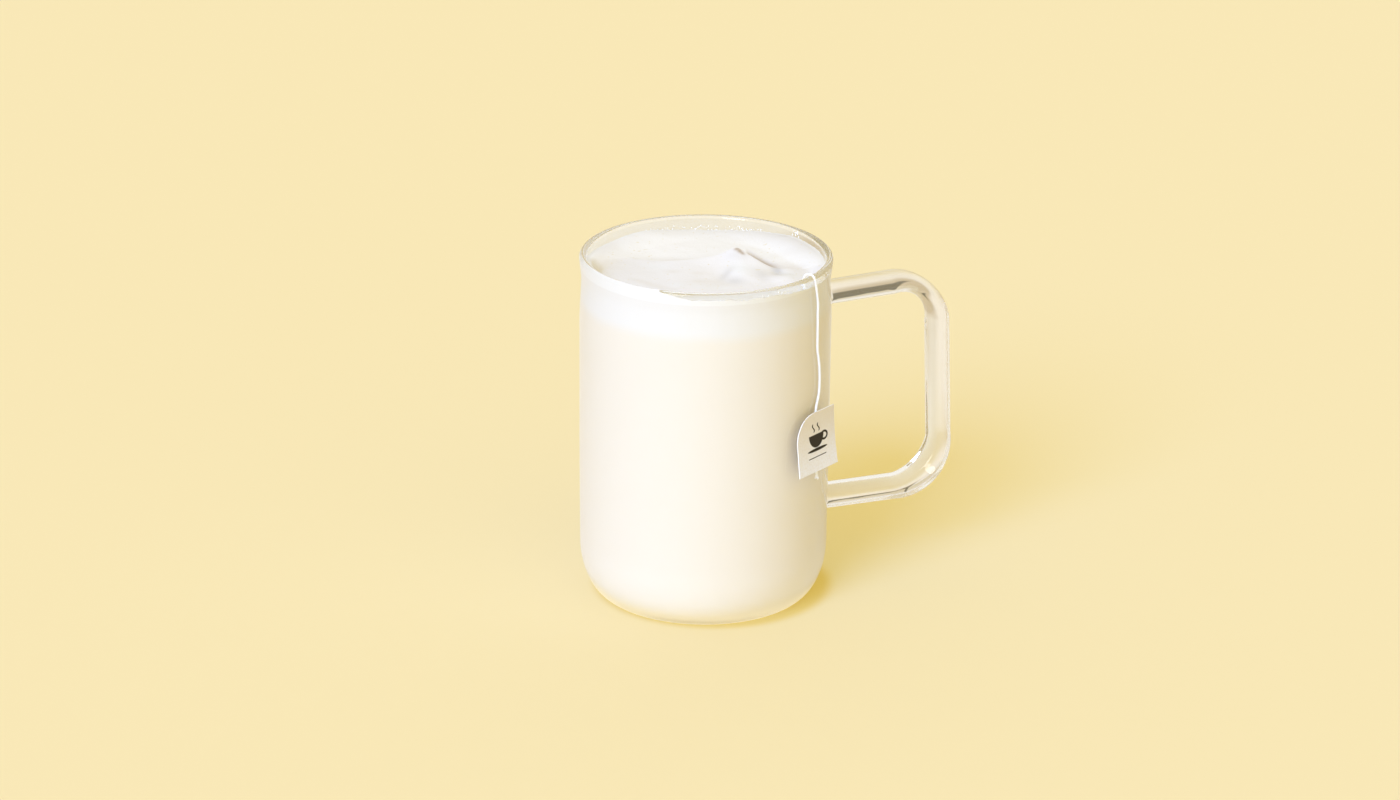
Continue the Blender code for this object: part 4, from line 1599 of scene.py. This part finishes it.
BENT_BEHIND = (0.14, 0.26)
DARK_BOUNCE = (0.200, 0.170, 0.105)
DARK_BEHIND = (0.35, 0.42)
DARK_SIDES = (0.022, 0.030, 0.054, 0.064)
DARK_LEAN = 0.14
EYE_AWAY = 1.4
EYE_SLOPE = 0.358
LEAN_FROM = 0.1
FLOOR_REACH = 3.0
FLOOR_SIDES = 96


def facing(vector, direction):
    """How far a vector reaches one way: for a ray, 1 straight along it and -1 against it."""
    return vector_maths(vector.tree, "DOT_PRODUCT", {0: vector, 1: tuple(direction)}, "Value")


def between(value, steps):
    """1 between the two middle steps, 0 outside the outer two."""
    return value.ease(steps[0], steps[1]) * (1.0 - value.ease(steps[2], steps[3]))


def bounced_paper(right, behind, away, dark):
    """The paper's colour for every ray but the camera's own, with painted light and shade: paler
    near the mug, tan far out, and a painted shadow under the foot.
    """
    near = mix_colours(right.ease(*WHITE_RIGHT), WHITE_BOUNCE, PAPER_BOUNCE)
    edge = right.ease(*TAN_RIGHT).most((-right).ease(*TAN_LEFT) * 0.4)
    paper = mix_colours(edge * 0.8, near, TAN_BOUNCE)
    far = mix_colours(right.ease(*FAR_RIGHT), FAR_WHITE, FAR_TAN)
    beyond = mix_colours(behind.ease(*FAR_BEHIND), paper, far)
    # A painted shadow under the foot, for what the glass bends and mirrors.
    foot = mix_colours(away.ease(*FOOT_SHADOW_REACH), FOOT_SHADOW_BOUNCE, beyond)
    return mix_colours(dark, foot, DARK_BOUNCE)


def floor_finish():
    material, tree, shader = new_finish(
        "pale_floor", Roughness=1.0, Specular_IOR_Level=0.0, Emission_Strength=1.0,
    )
    place = object_place(tree)
    right = facing(place, TO_RIGHT)
    behind = facing(place, TO_BACK)
    away = vector_maths(tree, "LENGTH", {0: place}, "Value")
    leaning = right + behind * (DARK_LEAN * EYE_SLOPE) - DARK_LEAN * LEAN_FROM
    dark = between(leaning / (behind + EYE_AWAY), DARK_SIDES) * behind.ease(*DARK_BEHIND)
    path = add_node(tree, "ShaderNodeLightPath")
    seen = path.out("Is Camera Ray")
    # A painted shadow: a deeper yellow disc round the foot, in the colour and the glow that the
    # camera sees.
    outside_contact_shadow = vector_maths(
        tree, "DISTANCE", {0: place, 1: tuple(CONTACT_SHADOW_MIDDLE)}, "Value"
    ).ease(*CONTACT_SHADOW_EDGE)
    colour = mix_colours(outside_contact_shadow, CONTACT_SHADOW_COLOUR, PAPER_COLOUR)
    bounce = bounced_paper(right, behind, away, dark)
    feed(mix_colours(seen, bounce, colour), shader.inputs["Base Color"])
    glow = mix_colours(outside_contact_shadow, CONTACT_SHADOW_GLOW, PAPER_GLOW)
    # A painted light: a faint glow right of the mug, seen only by rays that the glass bends, lifts
    # the mug's shadow there.
    bent = path.out("Is Transmission Ray") * right.ease(*BENT_RIGHT) * (1.0 - dark)
    bent = scaled(BENT_GLOW, bent * (1.0 - behind.ease(*BENT_BEHIND)))
    under = mix_colours(away.ease(*GLOW_EDGE), FOOT_GLOW, bent)
    feed(mix_colours(seen, under, glow), shader.inputs["Emission Color"])
    return material


def add_floor():
    shell = bmesh.new()
    bmesh.ops.create_circle(shell, cap_ends=True, radius=FLOOR_REACH, segments=FLOOR_SIDES)
    floor = from_shell("studio_floor", shell)
    floor.data.materials.append(floor_finish())
    return floor


floor = add_floor()

# %% [markdown]
# The world is a pale room: a warm glow all round, more of it from the front and a cool one from
# behind. Light that scatters finds it shaded low down behind the set. What the glass mirrors and
# bends finds pale walls instead, with one narrow dark window low behind the handle, because clear
# glass needs something dark to bend into its edges.

# %% The room
ROOM_ROUND = (0.565, 0.384, 0.020)
ROOM_SIDES = (
    (TO_FRONT, (0.915, 0.896, 0.575)),
    (TO_BACK, (0.930, 1.155, 1.470)),
    (TO_LEFT, (0.125, 0.130, 0.070)),
    (TO_RIGHT, (0.000, 0.070, 0.160)),
)
SHADED_ROOM = (0.10, 0.09, 0.06)
SHADE_HEIGHTS = (0.22, 0.42)
SHADE_BACK = (0.15, 0.55)
LOW_ROOM = (0.740, 0.640, 0.440)
HIGH_ROOM = (0.980, 0.950, 0.880)
ROOM_HEIGHTS = (0.10, 0.45)
DARK_ROOM = (0.200, 0.170, 0.105)
DARK_TOP = (0.26, 0.34)
DARK_BACK = (0.0, 0.2)
BACKDROP = (0.92, 0.79, 0.45)


def add_world():
    world = bpy.data.worlds.new("studio_room")
    world.use_nodes = True
    tree = world.node_tree
    tree.nodes.clear()
    ray = add_node(tree, "ShaderNodeTexCoord").out("Generated")
    height = height_of(ray)
    behind = facing(ray, TO_BACK)
    bright = ROOM_ROUND
    for way, colour in ROOM_SIDES:
        glow = scaled(colour, facing(ray, way).most(0.0))
        bright = vector_maths(tree, "ADD", {0: bright, 1: glow})
    shade = (1.0 - height.ease(*SHADE_HEIGHTS)) * behind.ease(*SHADE_BACK)
    lit = mix_colours(shade, bright, SHADED_ROOM)
    wall = mix_colours(height.ease(*ROOM_HEIGHTS), LOW_ROOM, HIGH_ROOM)
    right = facing(ray, TO_RIGHT) / (1.0 - height * height).root()
    leaning = right + height * DARK_LEAN + DARK_LEAN * EYE_SLOPE
    window = (1.0 - height.ease(*DARK_TOP)) * between(leaning, DARK_SIDES)
    mirrored = mix_colours(window * behind.ease(*DARK_BACK), wall, DARK_ROOM)
    path = add_node(tree, "ShaderNodeLightPath")
    room = mix_colours(path.out("Is Diffuse Ray"), mirrored, lit)
    seen = mix_colours(path.out("Is Camera Ray"), room, BACKDROP)
    light = add_node(tree, "ShaderNodeBackground", {"Color": seen, "Strength": 1.0})
    add_node(tree, "ShaderNodeOutputWorld", {"Surface": light})
    bpy.context.scene.world = world


add_world()
print("room ready")

# %% [markdown]
# A wide sun from the left and front is the key. It is cooler than the room, so that what it
# doesn't reach turns warm. A softbox in the same place gives the gloss: only reflections and
# refractions see it, and the sun only what is matt.

# %% The lamps
KEY = (0.352, 0.573, 1.182)
KEY_RISE = math.radians(34.0)
KEY_LEFT = math.radians(30.0)
KEY_SPREAD = math.radians(30.0)
KEY_AWAY = 3.0
SOFTBOX_AWAY = 1.2
SOFTBOX_SIZE = (0.42, 0.62)
SOFTBOX_GLOW = 7.0


def new_light(name, kind, direction, away):
    """A light of the given kind, at a distance from the mug, that shines at it."""
    data = bpy.data.lights.new(name, kind)
    lamp = bpy.data.objects.new(name, data)
    bpy.context.scene.collection.objects.link(lamp)
    lamp.location = direction * away + Vector((0.0, 0.0, MUG_HEIGHT / 2))
    lamp.rotation_mode = "QUATERNION"
    lamp.rotation_quaternion = direction.to_track_quat("Z", "Y")
    return lamp, data


def add_key():
    lamp, data = new_light("key_light", "SUN", toward(KEY_LEFT, KEY_RISE), KEY_AWAY)
    most = max(KEY)
    data.angle = KEY_SPREAD
    data.color = [c / most for c in KEY]
    data.energy = most * math.pi
    lamp.visible_glossy = False
    lamp.visible_transmission = False


def add_softbox():
    lamp, data = new_light("softbox", "AREA", toward(KEY_LEFT, KEY_RISE), SOFTBOX_AWAY)
    data.shape = "RECTANGLE"
    data.size, data.size_y = SOFTBOX_SIZE
    data.color = (1.0, 1.0, 1.0)
    data.energy = SOFTBOX_GLOW * math.pi * data.size * data.size_y
    lamp.visible_diffuse = False
    lamp.visible_camera = False


add_key()
add_softbox()
scene = bpy.context.scene
scene.view_settings.view_transform = "Standard"
scene.view_settings.look = "None"
print("lights ready")
